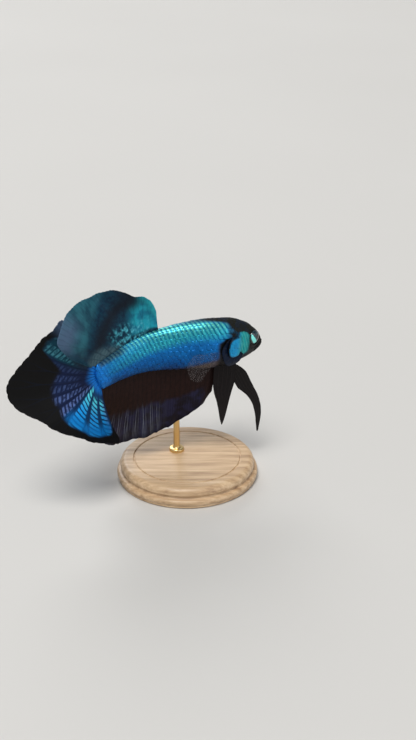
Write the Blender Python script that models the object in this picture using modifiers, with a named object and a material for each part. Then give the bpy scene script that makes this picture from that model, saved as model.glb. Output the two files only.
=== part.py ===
"""Male Siamese fighting fish (betta), half-moon form, as a life-size still model on a display stand.

Blender 4.5, metres, +Z up. The origin is the middle of the stand's underside and the fish heads along +X.

The fish is drawn straight first, as (back, left, up): how far back from the snout a point lies, how far to
the fish's left of its middle plane, and how far above its long axis. posed() then bends that straight fish
into the turning stance, and every piece of the fish goes through it.
"""

import math

import bmesh
import bpy
import numpy as np
from mathutils import Matrix, Vector

MM = 0.001

# The fish's driving sizes
STANDARD_LENGTH = 46 * MM  # snout to the end of the tail stalk
GAP = 0.3 * MM  # between neighbouring solids
MEMBRANE = 0.5 * MM  # fin thickness between the rays
RAY = 0.8 * MM  # fin thickness along a ray
NOTCH = 0.02  # how far the web between two rays falls short of their tips, as a share of their length

# Body lines, each as a share of the standard length: (back, top, bottom, half width)
BODY_LINES = (
    (0.000, 0.022, 0.022, 0.016),
    (0.030, 0.051, 0.043, 0.029),
    (0.075, 0.088, 0.073, 0.047),
    (0.140, 0.122, 0.099, 0.063),
    (0.230, 0.146, 0.124, 0.075),
    (0.330, 0.148, 0.133, 0.076),
    (0.450, 0.138, 0.130, 0.068),
    (0.600, 0.115, 0.118, 0.053),
    (0.780, 0.091, 0.098, 0.036),
    (1.000, 0.072, 0.076, 0.019),
)
SNOUT_ROUNDING = 0.035
STALK_ROUNDING = 0.030
SECTION_POWER = 2.2  # 2 is an ellipse; a little more fills the flanks

# The stance: (back as a share of the standard length, turn towards -Y, dip of the tail), in degrees
STANCE = (
    (-0.10, 30, -13),
    (0.12, 31, -9),
    (0.34, 11, 0),
    (0.52, 10, 2),
    (0.76, 36, 9),
    (1.00, 46, 12),
    (1.25, 26, 8),
    (1.60, 4, 6),
)
MIDDLE = 0.50  # the station that stands over the stand
MIDDLE_PLACE = Vector((-2.5, 1.0, 35.0)) * MM

# Head
SHOULDER_BACK = 0.292 * STANDARD_LENGTH  # where the scales of the trunk begin
SHOULDER_BOW = 0.045 * STANDARD_LENGTH
SHOULDER_REACH = 0.150 * STANDARD_LENGTH
GILL_BACK, GILL_UP = 0.203 * STANDARD_LENGTH, 0.002 * STANDARD_LENGTH  # middle of the gill cover
GILL_HALF_LENGTH, GILL_HALF_HEIGHT = 0.044 * STANDARD_LENGTH, 0.060 * STANDARD_LENGTH
GILL_INSIDE = 0.034 * STANDARD_LENGTH
GILL_FLARE = 0.30  # how much further out than the cheek the cover's rear edge stands
GILL_FLARE_FRONT, GILL_FLARE_REAR = 0.16, 0.24
GILL_POWER = 2.6  # roundness of the cover's outline
MOUTH_CORNER_BACK = 0.062 * STANDARD_LENGTH
MOUTH_CORNER_DROP = 0.036 * STANDARD_LENGTH
MOUTH_TIP_UP = 0.006 * STANDARD_LENGTH
JAW_BACK = 0.095 * STANDARD_LENGTH
EYE_BACK = 0.083 * STANDARD_LENGTH
EYE_UP = 0.038 * STANDARD_LENGTH
EYE_OUT = 0.036 * STANDARD_LENGTH
EYE_RADIUS = 0.0385 * STANDARD_LENGTH
EYE_HALF_DEPTH = 0.022 * STANDARD_LENGTH
EYE_TOE = 16  # degrees that each eye looks ahead of straight sideways

# Trunk and tail stalk part here
STALK_FRONT = 0.86 * STANDARD_LENGTH

# Stand
BASE_RADIUS = 18 * MM
BASE_HEIGHT = 5 * MM
# The base's turned edge, from its top to its foot: (in from its radius, height), in mm
BASE_EDGE = (
    (2.40, 5.00),
    (1.35, 4.60),
    (0.90, 3.70),
    (1.25, 2.75),
    (0.45, 2.20),
    (0.00, 1.45),
    (0.35, 0.70),
    (0.80, 0.00),
)
ROD_RADIUS = 0.8 * MM
ROD_BACK = 0.50 * STANDARD_LENGTH
ROD_LEFT = 2.3 * MM
ROD_IN_BODY = 2.0 * MM


# ---------------------------------------------------------------- measuring functions


def through(table, column, back):
    """The smooth curve through one column of a table of stations, with no overshoot between them."""
    rows = np.array(table, float)
    x, y = rows[:, 0], rows[:, column]
    step = np.diff(x)
    slope = np.diff(y) / step
    same_way = slope[:-1] * slope[1:] > 0
    safe = np.where(same_way, slope[:-1] + slope[1:], 1.0)
    inner = np.where(same_way, 2 * slope[:-1] * slope[1:] / safe, 0.0)
    m = np.concatenate([[slope[0]], inner, [slope[-1]]])
    at = np.clip(back, x[0], x[-1])
    i = np.clip(np.searchsorted(x, at, side="right") - 1, 0, len(step) - 1)
    w = (at - x[i]) / step[i]
    return (
        y[i] * (1 + 2 * w) * (1 - w) ** 2
        + m[i] * step[i] * w * (1 - w) ** 2
        + y[i + 1] * w**2 * (3 - 2 * w)
        - m[i + 1] * step[i] * w**2 * (1 - w)
    )


def end_rounding(share):
    """From 0 at the snout and the stalk's end to 1 between them, as a quarter round at each end."""
    snout = np.clip(1 - share / SNOUT_ROUNDING, 0, 1)
    stalk = np.clip(1 - (1 - share) / STALK_ROUNDING, 0, 1)
    return np.sqrt(1 - snout**2) * np.sqrt(1 - stalk**2)


def body_size(back):
    """(top, bottom, half width) of the body at a station, in metres."""
    share = np.clip(back / STANDARD_LENGTH, 0, 1)
    rounding = end_rounding(share) * STANDARD_LENGTH
    return tuple(through(BODY_LINES, k, share) * rounding for k in (1, 2, 3))


def body_point(share, around, flare=0.0):
    """A point of the straight body's surface; around runs from the fish's left, over the back.

    flare widens it from the cheek backwards, which is the shape of a raised gill cover.
    """
    back = share * STANDARD_LENGTH
    top, bottom, half_width = body_size(back)
    raised = np.clip((share - GILL_FLARE_FRONT) / (GILL_FLARE_REAR - GILL_FLARE_FRONT), 0, 1)
    half_width *= 1 + flare * raised
    c, s = math.cos(around), math.sin(around)
    rounder = 2 / SECTION_POWER
    left = half_width * math.copysign(abs(c) ** rounder, c)
    up = (top if s > 0 else bottom) * math.copysign(abs(s) ** rounder, s)
    return back, left, up


def stance_line():
    """Stations, places and frames of the posed fish's axis, walked in short steps."""
    stations = np.linspace(-0.3, 2.0, 461)
    turn = np.radians(through(STANCE, 1, stations))
    dip = np.radians(through(STANCE, 2, stations))
    ahead = np.stack(
        [np.cos(turn) * np.cos(dip), np.sin(turn) * np.cos(dip), np.sin(dip)], axis=1
    )
    step = (stations[1] - stations[0]) * STANDARD_LENGTH
    places = np.zeros_like(ahead)
    places[1:] = -np.cumsum((ahead[1:] + ahead[:-1]) / 2 * step, axis=0)
    middle = [np.interp(MIDDLE, stations, places[:, k]) for k in range(3)]
    places += np.array(MIDDLE_PLACE) - np.array(middle)
    return stations * STANDARD_LENGTH, places, turn, dip


AXIS_BACK, AXIS_PLACE, AXIS_TURN, AXIS_DIP = stance_line()


def frame_at(back):
    """The posed frame at a station as a matrix: ahead, left and up, and the axis's place."""
    turn = float(np.interp(back, AXIS_BACK, AXIS_TURN))
    dip = float(np.interp(back, AXIS_BACK, AXIS_DIP))
    ahead = Vector((math.cos(turn) * math.cos(dip), math.sin(turn) * math.cos(dip), math.sin(dip)))
    left = Vector((-math.sin(turn), math.cos(turn), 0))
    up = ahead.cross(left)
    place = [float(np.interp(back, AXIS_BACK, AXIS_PLACE[:, k])) for k in range(3)]
    matrix = Matrix((ahead, left, up)).transposed().to_4x4()
    matrix.translation = Vector(place)
    return matrix


def posed(back, left, up):
    """Where a point of the straight fish stands in the turning stance."""
    return frame_at(back) @ Vector((0, left, up))


# ---------------------------------------------------------------- making functions


def clear_scene():
    for obj in list(bpy.data.objects):
        bpy.data.objects.remove(obj)


def collection(name):
    made = bpy.data.collections.new(name)
    bpy.context.scene.collection.children.link(made)
    return made


def material(name, colour, roughness, metallic=0.0):
    made = bpy.data.materials.new(name)
    made.use_nodes = True
    shader = made.node_tree.nodes["Principled BSDF"]
    shader.inputs["Base Color"].default_value = (*colour, 1)
    shader.inputs["Roughness"].default_value = roughness
    shader.inputs["Metallic"].default_value = metallic
    return made


def add_object(name, bm, where, finish=None, smooth=True):
    """A bmesh as a named object; a cutter has no finish and isn't rendered."""
    mesh = bpy.data.meshes.new(name)
    bm.to_mesh(mesh)
    bm.free()
    obj = bpy.data.objects.new(name, mesh)
    where.objects.link(obj)
    if finish is None:
        obj.hide_render = True
        obj.display_type = "WIRE"
    else:
        mesh.materials.append(finish)
        if smooth:
            mesh.shade_smooth()
            mesh.set_sharp_from_angle(angle=math.radians(40))
    return obj


def face_out(bm):
    """Turns the faces of a closed shape outwards."""
    bmesh.ops.recalc_face_normals(bm, faces=bm.faces)
    if bm.calc_volume(signed=True) < 0:
        bmesh.ops.reverse_faces(bm, faces=bm.faces)


def boolean(obj, operation, *cutters):
    for cutter in cutters:
        modifier = obj.modifiers.new(f"{operation.lower()}_{cutter.name}", "BOOLEAN")
        modifier.operation = operation
        modifier.object = cutter


def body_mesh(segments=20, rings=36, flare=0.0):
    """The whole body from a sphere whose poles are the snout and the end of the tail stalk."""
    bm = bmesh.new()
    bmesh.ops.create_uvsphere(bm, u_segments=segments, v_segments=rings, radius=1)
    for vert in bm.verts:
        share = (1 - vert.co.z) / 2
        vert.co = posed(*body_point(share, math.atan2(vert.co.y, vert.co.x), flare))
    face_out(bm)
    return bm


def zone(name, shape, where, cuts=7):
    """A cutter: a subdivided block whose unit coordinates shape() turns into (back, left, up)."""
    bm = bmesh.new()
    bmesh.ops.create_cube(bm, size=1)
    bmesh.ops.subdivide_edges(bm, edges=bm.edges, cuts=cuts, use_grid_fill=True)
    for vert in bm.verts:
        vert.co = posed(*shape(*(vert.co + Vector((0.5, 0.5, 0.5)))))
    face_out(bm)
    return add_object(name, bm, where)


def mix(a, b, share):
    return a + (b - a) * share


# ---------------------------------------------------------------- head, trunk and tail stalk

WIDE = 0.25 * STANDARD_LENGTH  # past the body's sides, for the cutters
TALL = 0.30 * STANDARD_LENGTH


def shoulder(up):
    """The line from which the trunk is scaled; it bows backwards at mid height."""
    return SHOULDER_BACK - SHOULDER_BOW * (up / SHOULDER_REACH) ** 2


def head_zone(name, grown, where):
    def shape(a, b, c):
        up = mix(-TALL, TALL, c)
        return mix(-WIDE, shoulder(up) + grown, a), mix(-WIDE, WIDE, b), up

    return zone(name, shape, where, cuts=9)


def stalk_zone(name, grown, where):
    def shape(a, b, c):
        return mix(STALK_FRONT - grown, STANDARD_LENGTH + WIDE, a), mix(-WIDE, WIDE, b), mix(-TALL, TALL, c)

    return zone(name, shape, where)


def gill_zone(name, side, grown, where):
    """Takes the outer layer of the cheek inside the gill cover's rounded outline."""

    def shape(a, b, c):
        high, along = 2 * c - 1, 2 * a - 1
        reach = (1 - 0.94 * abs(high) ** GILL_POWER) ** (1 / GILL_POWER)
        back = GILL_BACK + (GILL_HALF_LENGTH + grown) * reach * along
        up = GILL_UP + (GILL_HALF_HEIGHT + grown) * high
        return back, side * mix(GILL_INSIDE - grown, WIDE, b), up

    return zone(name, shape, where, cuts=6)


def jaw_zone(name, grown, where):
    """Everything under the mouth line, back to the jaw's hinge."""

    def shape(a, b, c):
        back = mix(-WIDE, JAW_BACK + grown, a)
        line = MOUTH_TIP_UP - (MOUTH_CORNER_DROP + MOUTH_TIP_UP) * max(back, 0) / MOUTH_CORNER_BACK
        return back, mix(-WIDE, WIDE, b), mix(-TALL, line + grown, c)

    return zone(name, shape, where)


def eye_matrix(side):
    toe = Matrix.Rotation(-side * math.radians(EYE_TOE), 4, "Z")
    return frame_at(EYE_BACK) @ Matrix.Translation((0, side * EYE_OUT, EYE_UP)) @ toe


def eye(name, side, grown, where, finish=None):
    """A flattened ball whose flat sides face out from the head."""
    bm = bmesh.new()
    bmesh.ops.create_uvsphere(bm, u_segments=16, v_segments=8, radius=1)
    sizes = (EYE_RADIUS + grown, EYE_RADIUS + grown, EYE_HALF_DEPTH + grown)
    bmesh.ops.scale(bm, vec=sizes, verts=bm.verts)
    bmesh.ops.rotate(bm, matrix=Matrix.Rotation(math.pi / 2, 3, "X"), verts=bm.verts)
    obj = add_object(name, bm, where, finish)
    obj.matrix_world = eye_matrix(side)
    return obj


def rod_place():
    """Where the rod's axis stands on the floor plan, and the height of the belly there."""
    _, bottom, half_width = body_size(ROD_BACK)
    drop = (1 - (ROD_LEFT / half_width) ** SECTION_POWER) ** (1 / SECTION_POWER)
    return posed(ROD_BACK, ROD_LEFT, -bottom * drop)


def rod(name, radius, top, bottom, where, finish=None):
    bm = bmesh.new()
    bmesh.ops.create_cone(bm, cap_ends=True, segments=16, radius1=radius, radius2=radius, depth=top - bottom)
    obj = add_object(name, bm, where, finish)
    place = rod_place()
    obj.location = (place.x, place.y, (top + bottom) / 2)
    return obj


def make_body(parts, cutters, skin, eye_finish):
    head_cut, head_grown = (head_zone(f"head_zone_{g}", g * GAP, cutters) for g in (0, 1))
    stalk_cut, stalk_grown = (stalk_zone(f"stalk_zone_{g}", g * GAP, cutters) for g in (0, 1))
    jaw_cut, jaw_grown = (jaw_zone(f"jaw_zone_{g}", g * GAP, cutters) for g in (0, 1))
    rod_top = rod_place().z + ROD_IN_BODY
    socket = rod("rod_socket", ROD_RADIUS + GAP, rod_top + GAP, BASE_HEIGHT, cutters)

    head = add_object("head", body_mesh(), parts, skin["head"])
    boolean(head, "INTERSECT", head_cut)
    boolean(head, "DIFFERENCE", jaw_grown)
    jaw = add_object("lower_jaw", body_mesh(), parts, skin["head"])
    boolean(jaw, "INTERSECT", jaw_cut)
    for label, side in (("left", 1), ("right", -1)):
        cut, grown = (gill_zone(f"gill_zone_{label}_{g}", side, g * GAP, cutters) for g in (0, 1))
        cover = add_object(f"gill_cover_{label}", body_mesh(flare=GILL_FLARE), parts, skin["gill_cover"])
        boolean(cover, "INTERSECT", cut)
        socket_cut = eye(f"eye_socket_{label}", side, GAP, cutters)
        boolean(head, "DIFFERENCE", grown, socket_cut)
        eye(f"eye_{label}", side, 0, parts, eye_finish)

    trunk = add_object("trunk", body_mesh(), parts, skin["body"])
    boolean(trunk, "DIFFERENCE", head_grown, stalk_grown, socket)
    stalk = add_object("tail_stalk", body_mesh(), parts, skin["body"])
    boolean(stalk, "INTERSECT", stalk_cut)


# ---------------------------------------------------------------- fins


def fin(name, rays, rows, point, where, finish):
    """A webbed fin: a grid with a column on each ray and one between, made thicker along the rays.

    point(u, v, web) gives (back, left, up): u runs over the rays, v out along them, and web is 1 between
    two rays.
    """
    columns = 2 * rays - 1
    bm = bmesh.new()
    bmesh.ops.create_grid(bm, x_segments=columns - 1, y_segments=rows, size=0.5)
    on_ray = []
    for vert in bm.verts:
        u, v = vert.co.x + 0.5, vert.co.y + 0.5
        web = round(u * (columns - 1)) % 2
        on_ray.append(1 - web)
        vert.co = posed(*point(u, v, web))
    obj = add_object(name, bm, where, finish)
    group = obj.vertex_groups.new(name="rays")
    group.add([i for i, weight in enumerate(on_ray) if weight], 1, "REPLACE")
    solid = obj.modifiers.new("thickness", "SOLIDIFY")
    solid.thickness = RAY
    solid.offset = 0
    solid.vertex_group = group.name
    solid.thickness_vertex_group = MEMBRANE / RAY
    return obj


def ray_point(base, degrees, length, bend=0.0, curl=0.0):
    """(back, left, up) at the end of a ray that leaves base at an angle above the backward axis.

    bend turns the ray to the fish's left over that length, and curl turns it downwards, both in degrees.
    """
    angle, bend, curl = math.radians(degrees), math.radians(bend), math.radians(curl)
    flat = length * (math.sin(bend) / bend if abs(bend) > 1e-4 else 1)
    left = length * ((1 - math.cos(bend)) / bend if abs(bend) > 1e-4 else 0)
    angle -= curl / 2
    return base[0] + flat * math.cos(angle), left, base[1] + flat * math.sin(angle)


DORSAL_FRONT, DORSAL_REAR = 0.590 * STANDARD_LENGTH, 0.87 * STANDARD_LENGTH
# Along each fin, from its first ray to its last: (share of the rays, length in mm, lean, sideways bend)
DORSAL_RAYS = (
    (0.00, 5.0, 88, -20),
    (0.12, 9.2, 88, -34),
    (0.30, 12.0, 82, -10),
    (0.50, 14.5, 74, 24),
    (0.72, 18.0, 58, 2),
    (0.87, 18.8, 37, -30),
    (1.00, 13.0, 14, -50),
)


def dorsal_point(u, v, web):
    """Back fin: it rises over the rear half of the back and is folded once, behind its bright front lobe."""
    back = mix(DORSAL_FRONT, DORSAL_REAR, u)
    length, lean, bend = (float(through(DORSAL_RAYS, k, u)) for k in (1, 2, 3))
    base = (back, body_size(back)[0] + GAP)
    return ray_point(base, lean, v * length * MM * (1 - NOTCH * web), bend * v)


ANAL_FRONT, ANAL_REAR = 0.300 * STANDARD_LENGTH, 0.955 * STANDARD_LENGTH
ANAL_RAYS = (
    (0.00, 6.7, -80, 0),
    (0.10, 9.6, -85, -8),
    (0.30, 15.0, -84, 6),
    (0.50, 17.2, -80, -4),
    (0.75, 18.6, -75, 12),
    (1.00, 15.8, -73, 24),
)


def anal_point(u, v, web):
    """Belly fin: a long low sail that deepens towards the tail."""
    back = mix(ANAL_FRONT, ANAL_REAR, u)
    length, lean, bend = (float(through(ANAL_RAYS, k, u)) for k in (1, 2, 3))
    base = (back, -body_size(back)[1] - GAP)
    return ray_point(base, lean, v * length * MM * (1 - NOTCH * web), bend * v)


CAUDAL_RAYS = (
    (0.00, 14.6, 76, 30),
    (0.15, 16.6, 56, 6),
    (0.30, 18.0, 35, 12),
    (0.43, 22.4, 10, 2),
    (0.55, 16.0, -12, -24),
    (0.70, 13.8, -40, -62),
    (0.85, 13.8, -64, -60),
    (1.00, 16.0, -86, -36),
)
CAUDAL_BASE_TURN = 72  # degrees of the stalk's rounded end that the first and last rays stand on
STALK_END_BACK = (1 - STALK_ROUNDING) * STANDARD_LENGTH


def caudal_point(u, v, web):
    """Tail fin: a half moon on the stalk's rounded end, its lower lobe cupped to the fish's right."""
    turn = (1 - 2 * u) * math.radians(CAUDAL_BASE_TURN)
    top = body_size(STALK_END_BACK)[0]
    base = (
        STALK_END_BACK + (STALK_ROUNDING * STANDARD_LENGTH + GAP) * math.cos(turn),
        (top + GAP) * math.sin(turn),
    )
    length, lean, bend = (float(through(CAUDAL_RAYS, k, u)) for k in (1, 2, 3))
    return ray_point(base, lean, v * length * MM * (1 - NOTCH * web), bend * v)


PECTORAL_BACK, PECTORAL_UP = 0.305 * STANDARD_LENGTH, -0.040 * STANDARD_LENGTH
PECTORAL_LENGTH = 8.5 * MM
PECTORAL_OUT = 26  # degrees from the flank
PECTORAL_LEAN, PECTORAL_SPREAD = -16, 54  # degrees below the backward axis, and from first ray to last


def pectoral_point(side):
    def point(u, v, web):
        """Side fin: a small rounded paddle held back, down and a little out from the flank."""
        q = 2 * u - 1
        half_width = body_size(PECTORAL_BACK)[2]
        base = (PECTORAL_BACK, PECTORAL_UP - 1.2 * MM * q)
        length = PECTORAL_LENGTH * (1 - 0.25 * q * q) * (1 - NOTCH * web)
        out = math.radians(PECTORAL_OUT)
        lean = PECTORAL_LEAN - PECTORAL_SPREAD / 2 * q
        back, _, up = ray_point(base, lean, v * length * math.cos(out))
        return back, side * (half_width + GAP + MEMBRANE + v * length * math.sin(out)), up

    return point


PELVIC_BACK, PELVIC_LEFT = 0.205 * STANDARD_LENGTH, 0.9 * MM
# Down a belly streamer: (share of its length, share of its greatest width)
PELVIC_TAPER = (
    (0.00, 0.50),
    (0.12, 0.80),
    (0.27, 1.00),
    (0.42, 0.84),
    (0.60, 0.52),
    (0.80, 0.26),
    (1.00, 0.14),
)
# Each belly streamer: (name, side, length and greatest width in mm, lean, outward spread, backward curl)
PELVIC_FINS = (
    ("pelvic_fin_left", 1, 24.0, 4.4, -153, 2, -52),
    ("pelvic_fin_right", -1, 15.5, 4.8, -91, 10, -12),
)


def pelvic_point(side, length, widest, lean, spread, curl):
    def point(u, v, web):
        """Belly streamer: a blade that swells below its root and narrows to a thread."""
        q = u - 0.5
        width = widest * MM * float(through(PELVIC_TAPER, 1, v))
        base = (PELVIC_BACK, -body_size(PELVIC_BACK)[1] - GAP)
        middle = ray_point(base, lean, v * length * MM, spread * v, curl * v)
        return middle[0] + q * width, side * (PELVIC_LEFT + middle[1]), middle[2]

    return point


MEMBRANE_TOP, MEMBRANE_FRONT = 62, -158  # degrees round the gill cover, 0 at its rear and -90 below it
MEMBRANE_DEPTH = 1.1 * MM
MEMBRANE_BEARD = 2.6 * MM  # how much deeper it hangs under the cheek
MEMBRANE_FLARE = 16  # degrees from the flank


def flank(back, up):
    """How far out the body's surface is at a height, taking what is past the back or belly as its edge."""
    top, bottom, half_width = body_size(back)
    level = min(abs(up) / (top if up > 0 else bottom), 0.97)
    return half_width * (1 - level**SECTION_POWER) ** (1 / SECTION_POWER)


def membrane_point(side):
    def point(u, v, web):
        """Gill membrane: a soft dark collar that shows behind and below the raised gill cover."""
        around = math.radians(mix(MEMBRANE_TOP, MEMBRANE_FRONT, u))
        ends = math.sin(math.pi * (0.08 + 0.84 * u))
        beard = max(0.0, -math.sin(around + math.radians(24))) ** 2
        out = v * ends * (MEMBRANE_DEPTH + MEMBRANE_BEARD * beard)
        back = GILL_BACK + (GILL_HALF_LENGTH + GAP + out) * math.cos(around)
        up = GILL_UP + (GILL_HALF_HEIGHT + GAP + out) * math.sin(around)
        left = flank(back, up) + GAP + RAY / 2 + out * math.tan(math.radians(MEMBRANE_FLARE))
        return back, side * left, up

    return point


def make_fins(parts, finish):
    fin("dorsal_fin", 14, 8, dorsal_point, parts, finish["fin"])
    fin("anal_fin", 20, 7, anal_point, parts, finish["fin"])
    fin("caudal_fin", 22, 8, caudal_point, parts, finish["tail_fin"])
    for label, side in (("left", 1), ("right", -1)):
        fin(f"pectoral_fin_{label}", 9, 5, pectoral_point(side), parts, finish["clear_fin"])
        fin(f"gill_membrane_{label}", 9, 2, membrane_point(side), parts, finish["streamer"])
    for name, *form in PELVIC_FINS:
        fin(name, 3, 14, pelvic_point(*form), parts, finish["streamer"])


# ---------------------------------------------------------------- stand


def make_stand(parts, wood, brass):
    """A round base, turned with a rounded top, a cove and a bead, and the rod that rises from it."""
    bm = bmesh.new()
    edge = [(BASE_RADIUS - inset * MM, 0, height * MM) for inset, height in BASE_EDGE]
    profile = [bm.verts.new(place) for place in [(0, 0, BASE_HEIGHT), *edge, (0, 0, 0)]]
    for upper, lower in zip(profile, profile[1:]):
        bm.edges.new((upper, lower))
    base = add_object("stand_base", bm, parts, wood)
    turn = base.modifiers.new("turn", "SCREW")
    turn.steps = turn.render_steps = 32
    turn.use_merge_vertices = True
    turn.merge_threshold = 0.01 * MM
    turn.use_smooth_shade = True
    rod("stand_rod", ROD_RADIUS, rod_place().z + ROD_IN_BODY, BASE_HEIGHT + GAP, parts, brass)


def main():
    clear_scene()
    parts, cutters = collection("betta_fish"), collection("cutters")
    skin = {
        "head": material("dark_head_skin", (0.02, 0.03, 0.04), 0.4, 0.2),
        "gill_cover": material("blue_gill_cover", (0.02, 0.30, 0.60), 0.3, 0.6),
        "body": material("turquoise_scales", (0.01, 0.28, 0.58), 0.3, 0.6),
    }
    finish = {
        "fin": material("blue_black_fin", (0.01, 0.08, 0.20), 0.4, 0.4),
        "tail_fin": material("blue_tail_fin", (0.01, 0.14, 0.45), 0.35, 0.5),
        "clear_fin": material("clear_fin", (0.35, 0.36, 0.32), 0.4),
        "streamer": material("black_streamer", (0.015, 0.012, 0.012), 0.5),
    }
    make_body(parts, cutters, skin, material("dark_eye", (0.01, 0.01, 0.012), 0.1))
    make_fins(parts, finish)
    wood = material("pale_wood", (0.55, 0.40, 0.25), 0.5)
    brass = material("brass", (0.70, 0.50, 0.20), 0.3, metallic=1.0)
    make_stand(parts, wood, brass)


main()
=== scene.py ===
"""The looks of the life-size betta: one skin, separate scales, rayed fins and glassy eyes on a turned stand.

Blender 4.5, metres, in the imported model's frame. The fish is drawn straight first, as (back, left, up), and
posed() bends it into the same turning stance as the solids, which it finds from the solids' own eyes.
"""

import math

import bpy
import numpy as np
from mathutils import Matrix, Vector


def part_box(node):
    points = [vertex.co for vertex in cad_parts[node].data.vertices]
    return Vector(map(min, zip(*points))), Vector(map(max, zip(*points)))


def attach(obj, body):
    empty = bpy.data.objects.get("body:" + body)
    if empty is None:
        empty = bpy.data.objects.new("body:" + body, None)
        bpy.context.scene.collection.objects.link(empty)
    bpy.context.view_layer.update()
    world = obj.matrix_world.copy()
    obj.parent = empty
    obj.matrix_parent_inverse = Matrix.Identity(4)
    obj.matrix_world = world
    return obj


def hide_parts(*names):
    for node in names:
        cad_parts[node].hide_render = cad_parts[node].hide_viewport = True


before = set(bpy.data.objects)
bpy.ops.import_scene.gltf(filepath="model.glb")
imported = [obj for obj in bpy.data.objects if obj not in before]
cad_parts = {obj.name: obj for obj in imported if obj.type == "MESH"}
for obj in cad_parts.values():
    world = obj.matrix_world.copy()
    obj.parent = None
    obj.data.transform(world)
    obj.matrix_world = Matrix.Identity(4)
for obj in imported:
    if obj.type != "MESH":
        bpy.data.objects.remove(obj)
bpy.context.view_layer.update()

MM = 0.001
LEFT, RIGHT = 1, -1
SIDES = (("left", LEFT), ("right", RIGHT))
rng = np.random.default_rng(7)

# ---- the fish's form, as in the solids

STANDARD_LENGTH = 46 * MM  # snout to the end of the tail stalk
GAP = 0.3 * MM  # what the solids keep between them
NOTCH = 0.02  # how far a fin's web falls short of its rays' tips
COAT = 0.10 * MM  # depth of the scales over the skin

# Body lines, each as a share of the standard length: (back, top, bottom, half width)
BODY_LINES = (
    (0.000, 0.022, 0.022, 0.016),
    (0.030, 0.051, 0.043, 0.029),
    (0.075, 0.088, 0.073, 0.047),
    (0.140, 0.122, 0.099, 0.063),
    (0.230, 0.146, 0.124, 0.075),
    (0.330, 0.148, 0.133, 0.076),
    (0.450, 0.138, 0.130, 0.068),
    (0.600, 0.115, 0.118, 0.053),
    (0.780, 0.091, 0.098, 0.036),
    (1.000, 0.072, 0.076, 0.019),
)
SNOUT_ROUNDING = 0.035
STALK_ROUNDING = 0.030
SECTION_POWER = 2.2

# The stance: (back as a share of the standard length, turn towards -Y, dip of the tail), in degrees
STANCE = (
    (-0.10, 30, -13),
    (0.12, 31, -9),
    (0.34, 11, 0),
    (0.52, 10, 2),
    (0.76, 36, 9),
    (1.00, 46, 12),
    (1.25, 26, 8),
    (1.60, 4, 6),
)

# Head
GILL_BACK, GILL_UP = 0.203 * STANDARD_LENGTH, 0.002 * STANDARD_LENGTH
GILL_HALF_LENGTH, GILL_HALF_HEIGHT = 0.044 * STANDARD_LENGTH, 0.060 * STANDARD_LENGTH
GILL_FLARE = 0.30
GILL_FLARE_FRONT, GILL_FLARE_REAR = 0.16, 0.24
GILL_POWER = 2.6
MOUTH_CORNER_BACK = 0.062 * STANDARD_LENGTH
MOUTH_CORNER_DROP = 0.036 * STANDARD_LENGTH
MOUTH_TIP_UP = 0.006 * STANDARD_LENGTH
EYE_BACK = 0.083 * STANDARD_LENGTH
EYE_UP = 0.038 * STANDARD_LENGTH
EYE_OUT = 0.036 * STANDARD_LENGTH
EYE_RADIUS = 0.0385 * STANDARD_LENGTH
EYE_HALF_DEPTH = 0.022 * STANDARD_LENGTH
EYE_TOE = math.radians(16)


def through(table, column, back):
    """The smooth curve through one column of a table of stations, with no overshoot between them."""
    rows = np.array(table, float)
    x, y = rows[:, 0], rows[:, column]
    step = np.diff(x)
    slope = np.diff(y) / step
    same_way = slope[:-1] * slope[1:] > 0
    safe = np.where(same_way, slope[:-1] + slope[1:], 1.0)
    inner = np.where(same_way, 2 * slope[:-1] * slope[1:] / safe, 0.0)
    m = np.concatenate([[slope[0]], inner, [slope[-1]]])
    at = np.clip(back, x[0], x[-1])
    i = np.clip(np.searchsorted(x, at, side="right") - 1, 0, len(step) - 1)
    w = (at - x[i]) / step[i]
    return (
        y[i] * (1 + 2 * w) * (1 - w) ** 2
        + m[i] * step[i] * w * (1 - w) ** 2
        + y[i + 1] * w**2 * (3 - 2 * w)
        - m[i + 1] * step[i] * w**2 * (1 - w)
    )


def ease(value, low, high):
    """A smooth step from 0 at low to 1 at high."""
    t = np.clip((value - low) / (high - low), 0, 1)
    return t * t * (3 - 2 * t)


def bump(value, middle, width):
    """A rounded bump of height 1 at middle."""
    return np.exp(-(((value - middle) / width) ** 2))


def mix(a, b, share):
    return a + (b - a) * share


def body_size(share):
    """(top, bottom, half width) of the body at a station, in metres."""
    share = np.clip(share, 0, 1)
    snout = np.clip(1 - share / SNOUT_ROUNDING, 0, 1)
    stalk = np.clip(1 - (1 - share) / STALK_ROUNDING, 0, 1)
    rounding = np.sqrt(1 - snout**2) * np.sqrt(1 - stalk**2) * STANDARD_LENGTH
    return tuple(through(BODY_LINES, k, share) * rounding for k in (1, 2, 3))


def eye_middle():
    """The point midway between the two eyes of the solids."""
    corners = [corner for label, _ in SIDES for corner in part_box(f"eye_{label}")]
    return np.array(sum(corners, Vector()) / len(corners))


def heading(turn, dip):
    """The way that the fish's axis points."""
    return np.stack([np.cos(turn) * np.cos(dip), np.sin(turn) * np.cos(dip), np.sin(dip)], axis=-1)


def stance_line():
    """Stations, places, turns and dips of the posed fish's axis, hung on the solids' eyes."""
    stations = np.linspace(-0.3, 2.0, 461)
    turn, dip = (np.radians(through(STANCE, k, stations)) for k in (1, 2))
    ahead = heading(turn, dip)
    step = (stations[1] - stations[0]) * STANDARD_LENGTH
    places = np.zeros_like(ahead)
    places[1:] = -np.cumsum((ahead[1:] + ahead[:-1]) / 2 * step, axis=0)
    return stations * STANDARD_LENGTH, places, turn, dip


AXIS_BACK, AXIS_PLACE, AXIS_TURN, AXIS_DIP = stance_line()


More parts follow.
